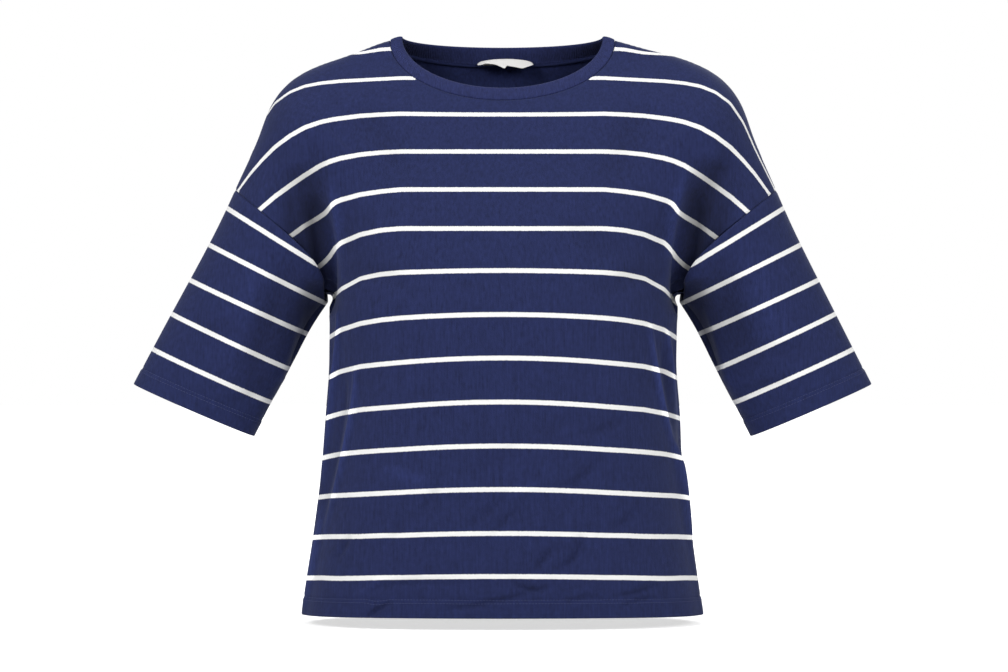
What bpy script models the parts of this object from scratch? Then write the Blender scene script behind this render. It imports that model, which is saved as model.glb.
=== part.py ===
"""Striped half-sleeve knit top, filled out as if worn: front, back, two sleeves, ribbed neckband and label.

Metres, +Z up, the front faces -Y, and the garment's right and left halves mirror each other.
The origin lies between the shoulders, level with the neck points, where a wearer carries it.

The cloth's shape is one form: a torso and two arms, each a front and a back depth over the
front view, joined by a soft valley that runs from the shoulder down to the underarm.
Every panel is a grid of points between its own seams, relaxed until it is even, on that form.
"""
import math

import bpy
import numpy as np

# ---------------------------------------------------------------- sizes
WALL = 0.0012                 # one layer of knit cloth
HEM_WALL = 0.0022             # where the hem is turned up and stitched
HEM_HEIGHT = 0.018            # how far the body's and the sleeves' hems are turned up
SEAM_GAP = 0.0003             # between two sewn pieces
CLEARANCE = SEAM_GAP / 2      # each piece's half of it

NECK_HALF_WIDTH = 0.1125      # neck point to centre, along the seam
NECK_POINT_HEIGHT = 0.005
FRONT_NECK_DROP = 0.0625      # neck point down to the centre front seam
BACK_NECK_DROP = 0.0195
BAND_HALF_WIDTH = 0.1003      # the band's free edge
BAND_PEAK = 0.0090
BAND_FRONT_DROP = 0.0535
BAND_BACK_DROP = 0.0085
BAND_FRONT_DEPTH = 0.0425
BAND_BACK_DEPTH = 0.0430
BAND_WALL = 0.0018            # two layers of rib
RIB_HEIGHT = 0.0004
RIBS_PER_STEP = 6             # ribs between two neighbouring points of the neck seam

SHOULDER_POINT = -0.145       # height where the dropped shoulder meets the sleeve
UNDERARM = -0.255             # height where front, back and sleeve meet
BODY_HEM = -0.5655            # at the centre front
HEM_SIDE_DROP = 0.0025        # the hem hangs lower at the side seams
ARMHOLE_BOW_FRONT = 0.0255    # how far the armhole seam bows towards the body
ARMHOLE_BOW_BACK = 0.0180
ARMHOLE_BOW_POWER = 5
UNDERARM_TURN = 0.6           # how far down the armhole its normals start to turn
UNDERARM_EASE = 0.0022        # how far the sleeve's edge drops there, where four edges meet
CUFF_SLOPE = math.radians(23.4)   # the cuff's edge, below level, from the outside in

SLEEVE_HALF_WIDTH = 0.0652    # across the sleeve in the front view
SLEEVE_FLARE = 0.035          # how far below the underarm the sleeve widens to meet the side
SHOULDER_ROUND = 0.050        # how far from the shoulder line its rounding reaches
VALLEY_POWER = 3.0            # higher is a sharper valley between torso and arm
SQUARENESS = 0.55             # 0 is an ellipse; more fills out the section's corners

LABEL_WIDTH = 0.057
LABEL_REACH = 0.011           # how far forwards it falls
LABEL_FALL = 0.005            # its free edge, below its sewn edge
LABEL_CREST = 0.005           # how high it rolls up in its middle
LABEL_WALL = 0.0010
LABEL_OFFSET = 0.0028         # its middle, to the right of the centre back
LABEL_STEPS = 12
LABEL_ROWS = 5

# The outer edge in the front view, from over the neck to past the cuff, and how deep the
# rounding behind that edge is, to the front and to the back.
OUTLINE_COLUMNS = ("x", "z", "front_round", "back_round")
OUTLINE = (
    ("over the neck", 0.0000, 0.0220, 0.010, 0.036),
    ("neck point",    0.1125, 0.0050, 0.016, 0.032),
    ("mid shoulder",  0.1500, -0.0073, 0.032, 0.040),
    ("shoulder",      0.1860, -0.0192, 0.046, 0.050),
    ("shoulder tip",  0.2168, -0.0370, 0.056, 0.058),
    ("upper arm",     0.2347, -0.0600, 0.060, 0.062),
    ("arm",           0.2463, -0.0900, 0.061, 0.063),
    ("drop",          0.2658, -0.1350, 0.060, 0.062),
    ("sleeve",        0.2792, -0.1650, 0.059, 0.061),
    ("mid sleeve",    0.3248, -0.2550, 0.050, 0.051),
    ("cuff",          0.3685, -0.3390, 0.041, 0.041),
    ("past the cuff", 0.4000, -0.4000, 0.040, 0.040),
)

# The torso by height: its half-width (0 means it has no side of its own there, above the
# valley) and its depth in the middle, to the front and to the back.
SECTION_COLUMNS = ("z", "half_width", "front", "back")
SECTIONS = (
    ("above the neck", 0.030, 0.000, 0.0030, 0.0460),
    ("neck point",     0.005, 0.000, 0.0130, 0.0500),
    ("neck side",     -0.018, 0.000, 0.0230, 0.0530),
    ("neck front",    -0.038, 0.000, 0.0360, 0.0620),
    ("neck base",     -0.059, 0.480, 0.0505, 0.0720),
    ("upper chest",   -0.087, 0.312, 0.0665, 0.0850),
    ("chest",         -0.127, 0.230, 0.0860, 0.0990),
    ("armhole",       -0.167, 0.191, 0.1040, 0.1090),
    ("bust",          -0.207, 0.171, 0.1165, 0.1150),
    ("underarm",      -0.255, 0.1740, 0.1255, 0.1165),
    ("ribs",          -0.300, 0.1720, 0.1290, 0.1150),
    ("waist",         -0.360, 0.1740, 0.1300, 0.1130),
    ("hip line",      -0.420, 0.1802, 0.1300, 0.1130),
    ("hip",           -0.480, 0.1880, 0.1300, 0.1145),
    ("hem",           -0.568, 0.2005, 0.1300, 0.1170),
)

# The largest folds hang from the underarms down to the hem, front and back alike.
# Each runs from one height to another; its place is measured round the side from the seam.
FOLD_COLUMNS = ("top", "bottom", "top_from_seam", "bottom_from_seam", "breadth", "height", "left_at_bottom")
FOLDS = (
    ("inner side fold", -0.270, -0.560, 0.062, 0.036, 0.0110, 0.0034, 0.4),
    ("outer side fold", -0.262, -0.450, 0.026, 0.014, 0.0080, 0.0024, 0.0),
)

# The shoulders sit a little to one side: how far the upper garment leans, and between which
# heights and distances from the centre the lean sets in.
LEAN_SIDEWAYS = 0.0032
LEAN_UPWARDS = 0.0016
LEAN_HEIGHTS = (-0.36, -0.12)
LIFT_HEIGHTS = (-0.14, -0.06)
LEAN_DISTANCES = (0.115, 0.175)

# Grid steps along each seam.
SHOULDER_STEPS = 10
NECK_STEPS = 16
ARMHOLE_STEPS = 12
SIDE_STEPS = 13
SLEEVE_STEPS = 8
HEM_STEP = 0.002              # the turned hem's upper edge, from one layer to two
SIDE_CROWDING = 0.55          # how much closer the columns stand at the sides than in the middle
RELAXING_ROUNDS = 150
ROW_PULL = 0.22               # how far the row above the underarm is drawn towards the next one
ROW_PULL_REACH = 5.0          # over how many columns from its ends

NAVY = (0.026, 0.034, 0.098)
WHITE = (0.76, 0.75, 0.72)


# ---------------------------------------------------------------- curves
def column(table, columns, name):
    """One named column of a table whose rows start with their own name."""
    return np.array([row[1 + columns.index(name)] for row in table])


def smooth_curve(knots, values, places):
    """A natural cubic spline through the values at rising knots, read at the given places."""
    gaps = np.diff(knots)
    slopes = np.diff(values) / gaps
    count = len(knots)
    system = np.eye(count)
    bends = np.zeros(count)
    for row in range(1, count - 1):
        system[row, row - 1] = gaps[row - 1]
        system[row, row] = 2 * (gaps[row - 1] + gaps[row])
        system[row, row + 1] = gaps[row]
        bends[row] = 6 * (slopes[row] - slopes[row - 1])
    bends = np.linalg.solve(system, bends)
    places = np.clip(places, knots[0], knots[-1])
    span = np.clip(np.searchsorted(knots, places) - 1, 0, count - 2)
    before = places - knots[span]
    after = knots[span + 1] - places
    gap = gaps[span]
    return ((bends[span] * after ** 3 + bends[span + 1] * before ** 3) / (6 * gap)
            + (values[span] / gap - bends[span] * gap / 6) * after
            + (values[span + 1] / gap - bends[span + 1] * gap / 6) * before)


def outline_points(step=0.004):
    """The outer edge as close points: x, z and the two rounding depths, one row for each."""
    rows = np.stack([column(OUTLINE, OUTLINE_COLUMNS, name) for name in OUTLINE_COLUMNS], axis=1)
    along = np.concatenate([[0], np.cumsum(np.hypot(*np.diff(rows[:, :2], axis=0).T))])
    places = np.linspace(0, along[-1], int(along[-1] / step))
    return np.stack([smooth_curve(along, values, places) for values in rows.T], axis=1)


EDGE = outline_points()
LEVELS = column(SECTIONS, SECTION_COLUMNS, "z")[::-1]


def section(name, z):
    """A column of the torso's sections, read at the heights z."""
    values = column(SECTIONS, SECTION_COLUMNS, name)[::-1]
    if name == "half_width":
        widths = np.where(values > 0, values, np.inf)
        return np.clip(smooth_curve(LEVELS, widths ** -2.0, z), 0, None)
    return smooth_curve(LEVELS, values, z)


def edge_distance(x, z):
    """Distance inwards from the outer edge, and the rounding depths at the nearest place on it."""
    start, step = EDGE[:-1, :2], np.diff(EDGE[:, :2], axis=0)
    reach = np.stack([x, z], axis=-1)[..., None, :] - start
    share = np.clip((reach * step).sum(-1) / (step ** 2).sum(-1), 0, 1)
    off = reach - share[..., None] * step
    far = (off ** 2).sum(-1)
    nearest = far.argmin(-1)[..., None]
    cross = np.take_along_axis(reach[..., 1] * step[:, 0] - reach[..., 0] * step[:, 1], nearest, -1)
    distance = np.sqrt(np.take_along_axis(far, nearest, -1))[..., 0]
    place = nearest[..., 0] + np.take_along_axis(share, nearest, -1)[..., 0]
    numbers = np.arange(len(EDGE))
    rounds = [np.interp(place, numbers, EDGE[:, pick]) for pick in (2, 3)]
    return np.where(cross[..., 0] < 0, distance, -distance), rounds[0], rounds[1]


def underarm_point():
    return np.array([section("half_width", np.array([UNDERARM]))[0] ** -0.5, UNDERARM])


# The sleeve's inner edge meets the torso's side exactly at the underarm.
UNDERARM_HALF_WIDTH = float(edge_distance(*underarm_point())[0]) / 2


# ---------------------------------------------------------------- the form
def depth_squared(x, z, front):
    """The form's depth squared at a place in the front view; below zero is outside it."""
    x = np.abs(x)
    inwards, front_round, back_round = edge_distance(x, z)
    flare = np.clip(1 - (UNDERARM - z) / SLEEVE_FLARE, 0, 1) ** 2
    arm_half = SLEEVE_HALF_WIDTH + (UNDERARM_HALF_WIDTH - SLEEVE_HALF_WIDTH) * flare
    arm_round = front_round if front else back_round
    arm = arm_round ** 2 * (inwards / arm_half) * (2 - inwards / arm_half)
    across = x ** 2 * section("half_width", z)
    rounding = np.where(across < 1, np.clip(inwards / SHOULDER_ROUND, None, 1), 1)
    torso = (section("front" if front else "back", z) ** 2
             * (1 - across) * (1 + SQUARENESS * across) * rounding * (2 - rounding))
    both = (np.clip(arm, 0, None) ** VALLEY_POWER + np.clip(torso, 0, None) ** VALLEY_POWER)
    return np.where(both > 0, both ** (1 / VALLEY_POWER), np.maximum(arm, torso))


def outward(points, front):
    """The form's surface value and its gradient at the points; the gradient points outwards."""
    x, y, z = points[..., 0], points[..., 1], points[..., 2]
    reach = 0.0003
    value = y ** 2 - depth_squared(x, z, front)
    slope_x = (depth_squared(x + reach, z, front) - depth_squared(x - reach, z, front)) / (2 * reach)
    slope_z = (depth_squared(x, z + reach, front) - depth_squared(x, z - reach, front)) / (2 * reach)
    return value, np.stack([-slope_x, 2 * y, -slope_z], axis=-1)


def settle(points, front, rounds=3):
    """Move points along the surface's slope until they lie on the form."""
    for _ in range(rounds):
        value, slope = outward(points, front)
        size = np.clip((slope ** 2).sum(-1), 1e-9, None)
        points = points - (value / size)[..., None] * slope
    points[..., 1] = -np.abs(points[..., 1]) if front else np.abs(points[..., 1])
    return points


def normals(points, front):
    return unit(outward(points, front)[1])


def on_form(x, z, front):
    """The form's points at places in the front view."""
    depth = np.sqrt(np.clip(depth_squared(x, z, front), 0, None))
    return np.stack([x, -depth if front else depth, z], axis=-1)


def soft_step(share):
    share = np.clip(share, 0, 1)
    return share * share * (3 - 2 * share)


def soft_ramp(value, ends):
    """0 before the first end, 1 past the second, and a smooth rise between them."""
    return soft_step((value - ends[0]) / (ends[1] - ends[0]))


def leaning(points):
    """The shoulders' small shift to one side, which leaves the neck and the hem as they are."""
    x, z = points[..., 0], points[..., 2]
    far = soft_ramp(np.abs(x), LEAN_DISTANCES)
    sideways = LEAN_SIDEWAYS * far * soft_ramp(z, LEAN_HEIGHTS)
    upwards = LEAN_UPWARDS * far * soft_ramp(z, LIFT_HEIGHTS) * np.sign(x)
    return points + np.stack([sideways, 0 * x, upwards], axis=-1)


def folds(points, front):
    """How far the side folds stand out at the points."""
    x, z = np.abs(points[..., 0]), points[..., 2]
    half_width = np.clip(section("half_width", z), 1, None) ** -0.5
    depth = section("front" if front else "back", z)
    from_seam = np.arctan2(np.abs(points[..., 1]) / depth, x / half_width) * (half_width + depth) / 2
    height = np.zeros_like(z)
    for row in FOLDS:
        fold = dict(zip(FOLD_COLUMNS, row[1:]))
        down = (fold["top"] - z) / (fold["top"] - fold["bottom"])
        place = fold["top_from_seam"] + down * (fold["bottom_from_seam"] - fold["top_from_seam"])
        fade = soft_step(down / 0.25) * (1 - (1 - fold["left_at_bottom"]) * soft_step((down - 0.5) / 0.5))
        height += fold["height"] * fade * np.exp(-((from_seam - place) / fold["breadth"]) ** 2)
    return height


# ---------------------------------------------------------------- seams
def even_places(points, steps):
    """Steps + 1 evenly spaced points along a line of close points."""
    along = np.concatenate([[0], np.cumsum(np.linalg.norm(np.diff(points, axis=0), axis=1))])
    places = np.linspace(0, along[-1], steps + 1)
    return np.stack([np.interp(places, along, points[:, axis]) for axis in range(3)], axis=1)


def shoulder_point():
    return np.array([np.interp(-SHOULDER_POINT, -EDGE[:, 1], EDGE[:, 0]), SHOULDER_POINT])


def sleeve_direction():
    """Down the sleeve in the front view, from the shoulder point to the cuff."""
    cuff = next(row for row in OUTLINE if row[0] == "cuff")
    x, z = np.array(cuff[1:3]) - shoulder_point()
    return np.array([x, 0, z]) / math.hypot(x, z)


def shoulder_seam(steps):
    """From the neck point out to the shoulder point, along the outer edge."""
    inside = (EDGE[:, 0] > NECK_HALF_WIDTH + 0.002) & (EDGE[:, 1] > SHOULDER_POINT + 0.002)
    neck_point = np.array([NECK_HALF_WIDTH, NECK_POINT_HEIGHT])
    line = np.vstack([neck_point, EDGE[inside, :2], shoulder_point()])
    return even_places(np.stack([line[:, 0], np.zeros(len(line)), line[:, 1]], axis=1), steps)


def unit(vectors):
    return vectors / np.linalg.norm(vectors, axis=-1, keepdims=True)


def shifted_seam(points, out, reference, shift):
    """A seam's points moved along the cloth, across the seam and towards the reference direction."""
    along = np.gradient(points, axis=0)
    along[-1] = (0, 1, 0)
    across = unit(np.cross(out, along))
    return points + shift * across * np.sign(across @ np.array(reference))[:, None]


def neck_seam(front, shift=0.0):
    """From the centre out to the neck point, half an ellipse in the front view: points, normals.

    A shift above zero moves the line towards the body, one below zero towards the band."""
    turn = np.linspace(0, math.pi / 2, 200)
    drop = FRONT_NECK_DROP if front else BACK_NECK_DROP
    line = on_form(NECK_HALF_WIDTH * np.sin(turn), NECK_POINT_HEIGHT - drop * np.cos(turn), front)
    line[-1, 1] = 0
    line = even_places(line, NECK_STEPS // 2)
    out = normals(line, front)
    moved = shifted_seam(line, out, (1, 0, -1), shift)
    moved[0, 0] = 0
    return moved, out


def armhole_seam(front, shift):
    """From the shoulder point down to the underarm, bowed towards the body: points, normals.

    A shift above zero moves the line towards the sleeve, one below zero towards the body.
    Towards the underarm it moves sideways, because there the two pieces face each other."""
    start, end = shoulder_point(), underarm_point()
    chord = end - start
    towards_body = np.array([chord[1], -chord[0]]) / np.hypot(*chord)
    share = (1 - np.cos(np.linspace(0, math.pi, ARMHOLE_STEPS + 1))) / 2
    bow = (ARMHOLE_BOW_FRONT if front else ARMHOLE_BOW_BACK) * share * (1 - share ** ARMHOLE_BOW_POWER)
    line = start + share[:, None] * chord + bow[:, None] * towards_body
    points = on_form(line[:, 0], line[:, 1], front)
    points[[0, -1], 1] = 0
    turn = underarm_turn()
    out = normals(points, front)
    between_pieces = unit((1 - turn) * out + turn * np.array([0, 0, -1]))
    moved = shifted_seam(points, between_pieces, (1, 0, -0.5), shift * (1 + turn))
    moved[0] = points[0] + shift * sleeve_direction()
    return moved, out


def underarm_turn():
    """From 0 to 1 down the armhole, as the valley between body and sleeve gets steep."""
    return soft_ramp(np.linspace(0, 1, ARMHOLE_STEPS + 1), (UNDERARM_TURN, 1))[:, None]


def armhole_wall(grid, out, front):
    """The body panel's normals along its armhole: near the underarm those of its own last cells,
    because the form's belong to the sleeve there."""
    edge, inside = grid[:ARMHOLE_STEPS + 1, -1], grid[:ARMHOLE_STEPS + 1, -2]
    facing = unit(np.cross(np.gradient(edge, axis=0), inside - edge)) * (-1 if front else 1)
    facing[-1] = (1, 0, 0)
    turn = underarm_turn()
    return unit((1 - turn) * out + turn * facing)


def side_seam(steps):
    """From the underarm down to the hem, with one more point at the turned hem's upper edge."""
    hem = BODY_HEM - HEM_SIDE_DROP
    z = np.concatenate([np.linspace(UNDERARM, hem + HEM_HEIGHT + HEM_STEP, steps - 1),
                        [hem + HEM_HEIGHT, hem]])
    return np.stack([section("half_width", z) ** -0.5, np.zeros(len(z)), z], axis=1)


def body_hem(front, steps):
    """From the centre out to the side seam."""
    turn = np.linspace(0, math.pi / 2, 200)
    x = section("half_width", np.array([BODY_HEM]))[0] ** -0.5 * np.sin(turn)
    line = on_form(x, BODY_HEM - HEM_SIDE_DROP * np.sin(turn) ** 4, front)
    line[-1] = side_seam(SIDE_STEPS)[-1]
    return even_places(line, steps)


def mirror(points):
    return points * np.array([-1, 1, 1])


def both_sides(half):
    """A line from the centre out, continued on the other side: left end, centre, right end."""
    return np.concatenate([mirror(half[:0:-1]), half])


# ---------------------------------------------------------------- panels
def spacing(steps, crowding):
    """Rising places from -1 to 1 that stand closer together towards both ends."""
    even = np.linspace(-1, 1, steps + 1)
    return (1 - crowding) * even + crowding * np.sin(even * math.pi / 2)


def lengths(points):
    """The length along a line of points, up to each of them."""
    return np.concatenate([[0], np.cumsum(np.linalg.norm(np.diff(points, axis=0), axis=1))])


def respaced(points, places):
    """A line of points read again at places from -1 to 1 along its length."""
    along = lengths(points)
    wanted = (places + 1) / 2 * along[-1]
    return np.stack([np.interp(wanted, along, points[:, axis]) for axis in range(3)], axis=1)


def filled_patch(top, bottom, left, right, down, over):
    """A grid between four border lines, as a Coons patch; rows run from the left to the right."""
    down, over = down[:, None, None], over[None, :, None]
    ruled = (1 - down) * top[None] + down * bottom[None] + (1 - over) * left[:, None] + over * right[:, None]
    corners = ((1 - down) * ((1 - over) * top[0] + over * top[-1])
               + down * ((1 - over) * bottom[0] + over * bottom[-1]))
    return ruled - corners


def shares(places):
    """How much each inner point leans on its neighbour before and after it."""
    before, after = 1 / np.diff(places)[:-1], 1 / np.diff(places)[1:]
    return before / (before + after), after / (before + after)


def relaxed(grid, front, down, over):
    """Even out a grid's inner points on the form, keeping its border and its spacing."""
    up_share, down_share = (share[:, None, None] for share in shares(down))
    left_share, right_share = (share[None, :, None] for share in shares(over))
    for count in range(RELAXING_ROUNDS):
        across = left_share * grid[1:-1, :-2] + right_share * grid[1:-1, 2:]
        along = up_share * grid[:-2, 1:-1] + down_share * grid[2:, 1:-1]
        grid[1:-1, 1:-1] = settle((across + along) / 2, front, 1)
    grid[1:-1, 1:-1] = settle(grid[1:-1, 1:-1], front)
    return grid


def off_the_seam(grid, front):
    """The row above the underarm drawn down a little at both ends, so that it leaves the seam."""
    row, columns = ARMHOLE_STEPS - 1, np.arange(grid.shape[1])
    from_side = np.minimum(columns, columns[::-1])[1:-1, None]
    pull = ROW_PULL * np.exp(-((from_side - 1) / ROW_PULL_REACH) ** 2)
    grid[row, 1:-1] = settle(grid[row, 1:-1] + pull * (grid[row + 1] - grid[row])[1:-1], front)
    return grid


def body_panel(front):
    """The front's or the back's outer points and normals, rows from the shoulders to the hem."""
    neck, neck_out = neck_seam(front, CLEARANCE)
    armhole, armhole_out = armhole_seam(front, -CLEARANCE)
    top = both_sides(np.concatenate([neck, shoulder_seam(SHOULDER_STEPS)[1:]]))
    side = np.concatenate([armhole, side_seam(SIDE_STEPS)[1:]])
    places = spacing(len(top) - 1, SIDE_CROWDING)
    bottom = respaced(both_sides(body_hem(front, 400)), places)
    down, over = lengths(side) / lengths(side)[-1], (places + 1) / 2
    grid = filled_patch(top, bottom, mirror(side), side, down, over)
    grid[0], grid[-1], grid[:, 0], grid[:, -1] = top, bottom, mirror(side), side
    grid = off_the_seam(relaxed(grid, front, down, over), front)
    out = normals(grid, front)
    out[0, SHOULDER_STEPS:-SHOULDER_STEPS] = both_sides(neck_out)
    armhole_out = armhole_wall(grid, armhole_out, front)
    out[:ARMHOLE_STEPS + 1, -1] = armhole_out
    out[:ARMHOLE_STEPS + 1, 0] = mirror(armhole_out)
    return grid, out


def shell(name, outer, inner, material, closed_columns=False):
    """A closed wall between two grids of points, with a rim along every open border."""
    rows, columns = outer.shape[:2]
    count = rows * columns
    points = np.concatenate([outer.reshape(-1, 3), inner.reshape(-1, 3)])
    number = np.arange(count).reshape(rows, columns)
    if closed_columns:
        number = np.concatenate([number, number[:, :1]], axis=1)
    cells = np.stack([number[:-1, :-1], number[1:, :-1], number[1:, 1:], number[:-1, 1:]], axis=-1)
    triangles = split(points, cells.reshape(-1, 4))
    faces = triangles.tolist() + (triangles[:, ::-1] + count).tolist()
    borders = [number[0, ::-1], number[-1]]
    if not closed_columns:
        borders += [number[:, 0], number[::-1, -1]]
    for border in borders:
        for a, b in zip(border[:-1].tolist(), border[1:].tolist()):
            faces += rim_faces(a, b, count, points[a][2] > points[b][2])
    return add_piece(name, points, faces, material)


def split(points, cells):
    """Each four-sided cell as two triangles, cut along the diagonal that leaves them broader."""
    def breadth(corners):
        sides = points[corners] - points[np.roll(corners, 1, axis=-1)]
        area = np.linalg.norm(np.cross(sides[..., 0, :], sides[..., 1, :]), axis=-1)
        return (area / np.linalg.norm(sides, axis=-1).max(-1)).min(-1)

    one, other = cells[:, [[0, 1, 2], [0, 2, 3]]], cells[:, [[0, 1, 3], [1, 2, 3]]]
    return np.where((breadth(one) >= breadth(other))[:, None, None], one, other).reshape(-1, 3)


def rim_faces(a, b, count, a_is_higher):
    """Two triangles across the rim, split the same way on both sides of a seam."""
    if a_is_higher:
        return [[b, a, b + count], [a, a + count, b + count]]
    return [[b, a, a + count], [b, a + count, b + count]]


def hem_thickness(grid):
    """Two layers in the turned hem, one above it: each row as it lies above its own hem point."""
    above_hem = np.linalg.norm(grid - grid[-1:], axis=-1)
    return np.where(above_hem < HEM_HEIGHT + HEM_STEP / 2, HEM_WALL, WALL)[..., None]


def make_body_panel(name, front, material):
    """The front or the back: its outer grid with the side folds, its turned hem and its wall."""
    grid, out = body_panel(front)
    outer = grid + out * folds(grid, front)[..., None]
    inner = outer - out * hem_thickness(grid)
    own_side = (None, -CLEARANCE) if front else (CLEARANCE, None)
    for layer in (outer, inner):
        layer[..., 1] = np.clip(layer[..., 1], *own_side)
    if not front:
        outer, inner = outer[:, ::-1], inner[:, ::-1]
    return shell(name, leaning(outer), leaning(inner), material)


def cuff_edge(front, steps):
    """The sleeve's lower edge: a straight line in the front view, from the outside in."""
    cuff = dict(zip(OUTLINE_COLUMNS, next(row[1:] for row in OUTLINE if row[0] == "cuff")))
    start = np.array([cuff["x"], cuff["z"]])
    direction = np.array([-math.cos(CUFF_SLOPE), -math.sin(CUFF_SLOPE)])
    reach = np.linspace(0.10, 0.16, 600)
    tries = start + reach[:, None] * direction
    outside = depth_squared(tries[:, 0], tries[:, 1], front) <= 0
    length = reach[outside.argmax()]
    share = (1 - np.cos(np.linspace(0, math.pi, steps + 1))) / 2
    line = start + (share * length)[:, None] * direction
    points = on_form(line[:, 0], line[:, 1], front)
    points[[0, -1], 1] = 0
    return points


def around(front_half, back_half):
    """Two lines with shared ends as one closed loop, the shared ends once each."""
    return np.concatenate([front_half, back_half[-2:0:-1]])


def make_sleeve(name, side, material):
    """One sleeve: a tube from the armhole seam to the cuff, sewn shut under the arm."""
    (front_top, front_out), (back_top, back_out) = armhole_seam(True, CLEARANCE), armhole_seam(False, CLEARANCE)
    eased = UNDERARM_EASE * underarm_turn() * sleeve_direction()
    top = around(front_top + eased, back_top + eased)
    bottom = around(cuff_edge(True, ARMHOLE_STEPS), cuff_edge(False, ARMHOLE_STEPS))
    length = np.linalg.norm(bottom - top, axis=1)
    hem = HEM_HEIGHT / length
    step = HEM_STEP / length
    rows = [share * (1 - hem - step) for share in np.linspace(0, 1, SLEEVE_STEPS)]
    rows += [1 - hem, np.ones(len(top))]
    down = np.stack(rows)[..., None]
    grid = (1 - down) * top[None] + down * bottom[None]
    seams = (0, ARMHOLE_STEPS)
    is_front = np.arange(grid.shape[1]) <= ARMHOLE_STEPS
    for count in range(RELAXING_ROUNDS // 3):
        across = (np.roll(grid, 1, axis=1) + np.roll(grid, -1, axis=1))[1:-1] / 2
        grid[1:-1] = 0.8 * grid[1:-1] + 0.2 * across
        for front, chosen in ((True, is_front), (False, ~is_front)):
            grid[1:-1, chosen] = settle(grid[1:-1, chosen], front, 2)
        grid[1:-1, seams, 1] = 0
    out = np.where(is_front[None, :, None], normals(grid, True), normals(grid, False))
    out[0] = around(front_out, back_out)
    out[0, ARMHOLE_STEPS] = out[1, ARMHOLE_STEPS]
    inner = grid - out * hem_thickness(grid)
    if side > 0:
        outer, inner = grid[:, ::-1], inner[:, ::-1]
    else:
        outer, inner = mirror(grid), mirror(inner)
    return shell(name, leaning(outer), leaning(inner), material, closed_columns=True)


# ---------------------------------------------------------------- neckband and label
def all_round(front, back):
    """Half lines from the centres to the neck point as one loop: front, right, back, left."""
    right = np.concatenate([front, back[-2::-1]])
    return np.concatenate([right, mirror(right[-2:0:-1])])


def band_edge(count):
    """The band's free edge: half an ellipse to the front and half to the back, in each view."""
    turn = np.linspace(0, 2 * math.pi, count, endpoint=False)
    ahead = np.cos(turn) > 0
    depth = np.where(ahead, BAND_FRONT_DEPTH, BAND_BACK_DEPTH)
    drop = np.where(ahead, BAND_FRONT_DROP, BAND_BACK_DROP)
    return np.stack([BAND_HALF_WIDTH * np.sin(turn), -depth * np.cos(turn),
                     BAND_PEAK - drop * np.abs(np.cos(turn))], axis=1)


def between(loop, parts):
    """A closed loop with each of its straight steps cut into equal parts."""
    following = np.roll(loop, -1, axis=0)
    share = np.arange(parts)[None, :, None] / parts
    return (loop[:, None] * (1 - share) + following[:, None] * share).reshape(-1, 3)


def make_neckband(material):
    """A ring of rib on the neck seam: raised ribs outside, a plain inside, a folded free edge."""
    (front, front_out), (back, back_out) = neck_seam(True, -CLEARANCE), neck_seam(False, -CLEARANCE)
    seam, seam_out = all_round(front, back), all_round(front_out, back_out)
    edge = band_edge(len(seam))
    along = np.roll(seam, -1, axis=0) - np.roll(seam, 1, axis=0)
    out = unit(np.cross(edge - seam, along))
    out *= np.sign((out * seam_out).sum(1))[:, None]
    rise = unit(edge - seam)
    lines = (seam, seam_out, edge, out, rise)
    lower, lower_out, upper, out, rise = (between(line, 2 * RIBS_PER_STEP) for line in lines)
    rib = RIB_HEIGHT * (np.arange(len(lower)) % 2)[:, None]
    fold = rise * BAND_WALL / 2
    return ring([upper - out * BAND_WALL - fold, upper - out * BAND_WALL / 2, upper - fold + rib * out,
                 lower + rib * lower_out, lower - lower_out * BAND_WALL], material)


def ring(rows, material):
    """A closed ring from five lines of points round it, each line joined to the next."""
    count = len(rows[0])
    faces = []
    for line in range(len(rows)):
        following = (line + 1) % len(rows)
        for place in range(count):
            after = (place + 1) % count
            faces.append([line * count + place, following * count + place,
                          following * count + after, line * count + after])
    return add_piece("neckband", np.concatenate(rows), faces, material)


def make_label(material):
    """A blank woven label, sewn inside the back neck seam: it rolls up and falls forwards."""
    over, reach = np.meshgrid(np.linspace(-1, 1, LABEL_STEPS + 1), np.linspace(0, 1, LABEL_ROWS + 1))
    seam, out = neck_seam(False)
    sewn = seam - out * (BAND_WALL + SEAM_GAP + LABEL_WALL)
    x = LABEL_OFFSET + over * LABEL_WIDTH / 2
    y, z = (np.interp(np.abs(x), sewn[:, 0], sewn[:, axis]) for axis in (1, 2))
    crest = LABEL_CREST * (1 - over ** 2) * 4 * reach * (1 - reach)
    under = np.stack([x, y - LABEL_REACH * reach, z + crest - LABEL_FALL * reach], axis=-1)
    up = unit(np.cross(np.gradient(under, axis=1), np.gradient(under, axis=0)))
    return shell("label", under + up * np.sign(up[..., 2:]) * LABEL_WALL, under, material)


def add_piece(name, points, faces, material):
    mesh = bpy.data.meshes.new(name)
    mesh.from_pydata(points.tolist(), [], faces)
    mesh.validate()
    mesh.shade_smooth()
    mesh.set_sharp_from_angle(angle=math.radians(50))
    mesh.materials.append(material)
    piece = bpy.data.objects.new(name, mesh)
    bpy.context.scene.collection.objects.link(piece)
    return piece


def cloth(name, color, roughness):
    """A plain cloth material of one colour."""
    material = bpy.data.materials.new(name)
    material.use_nodes = True
    shader = material.node_tree.nodes["Principled BSDF"]
    shader.inputs["Base Color"].default_value = (*color, 1)
    shader.inputs["Roughness"].default_value = roughness
    shader.inputs["Metallic"].default_value = 0
    return material


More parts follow.
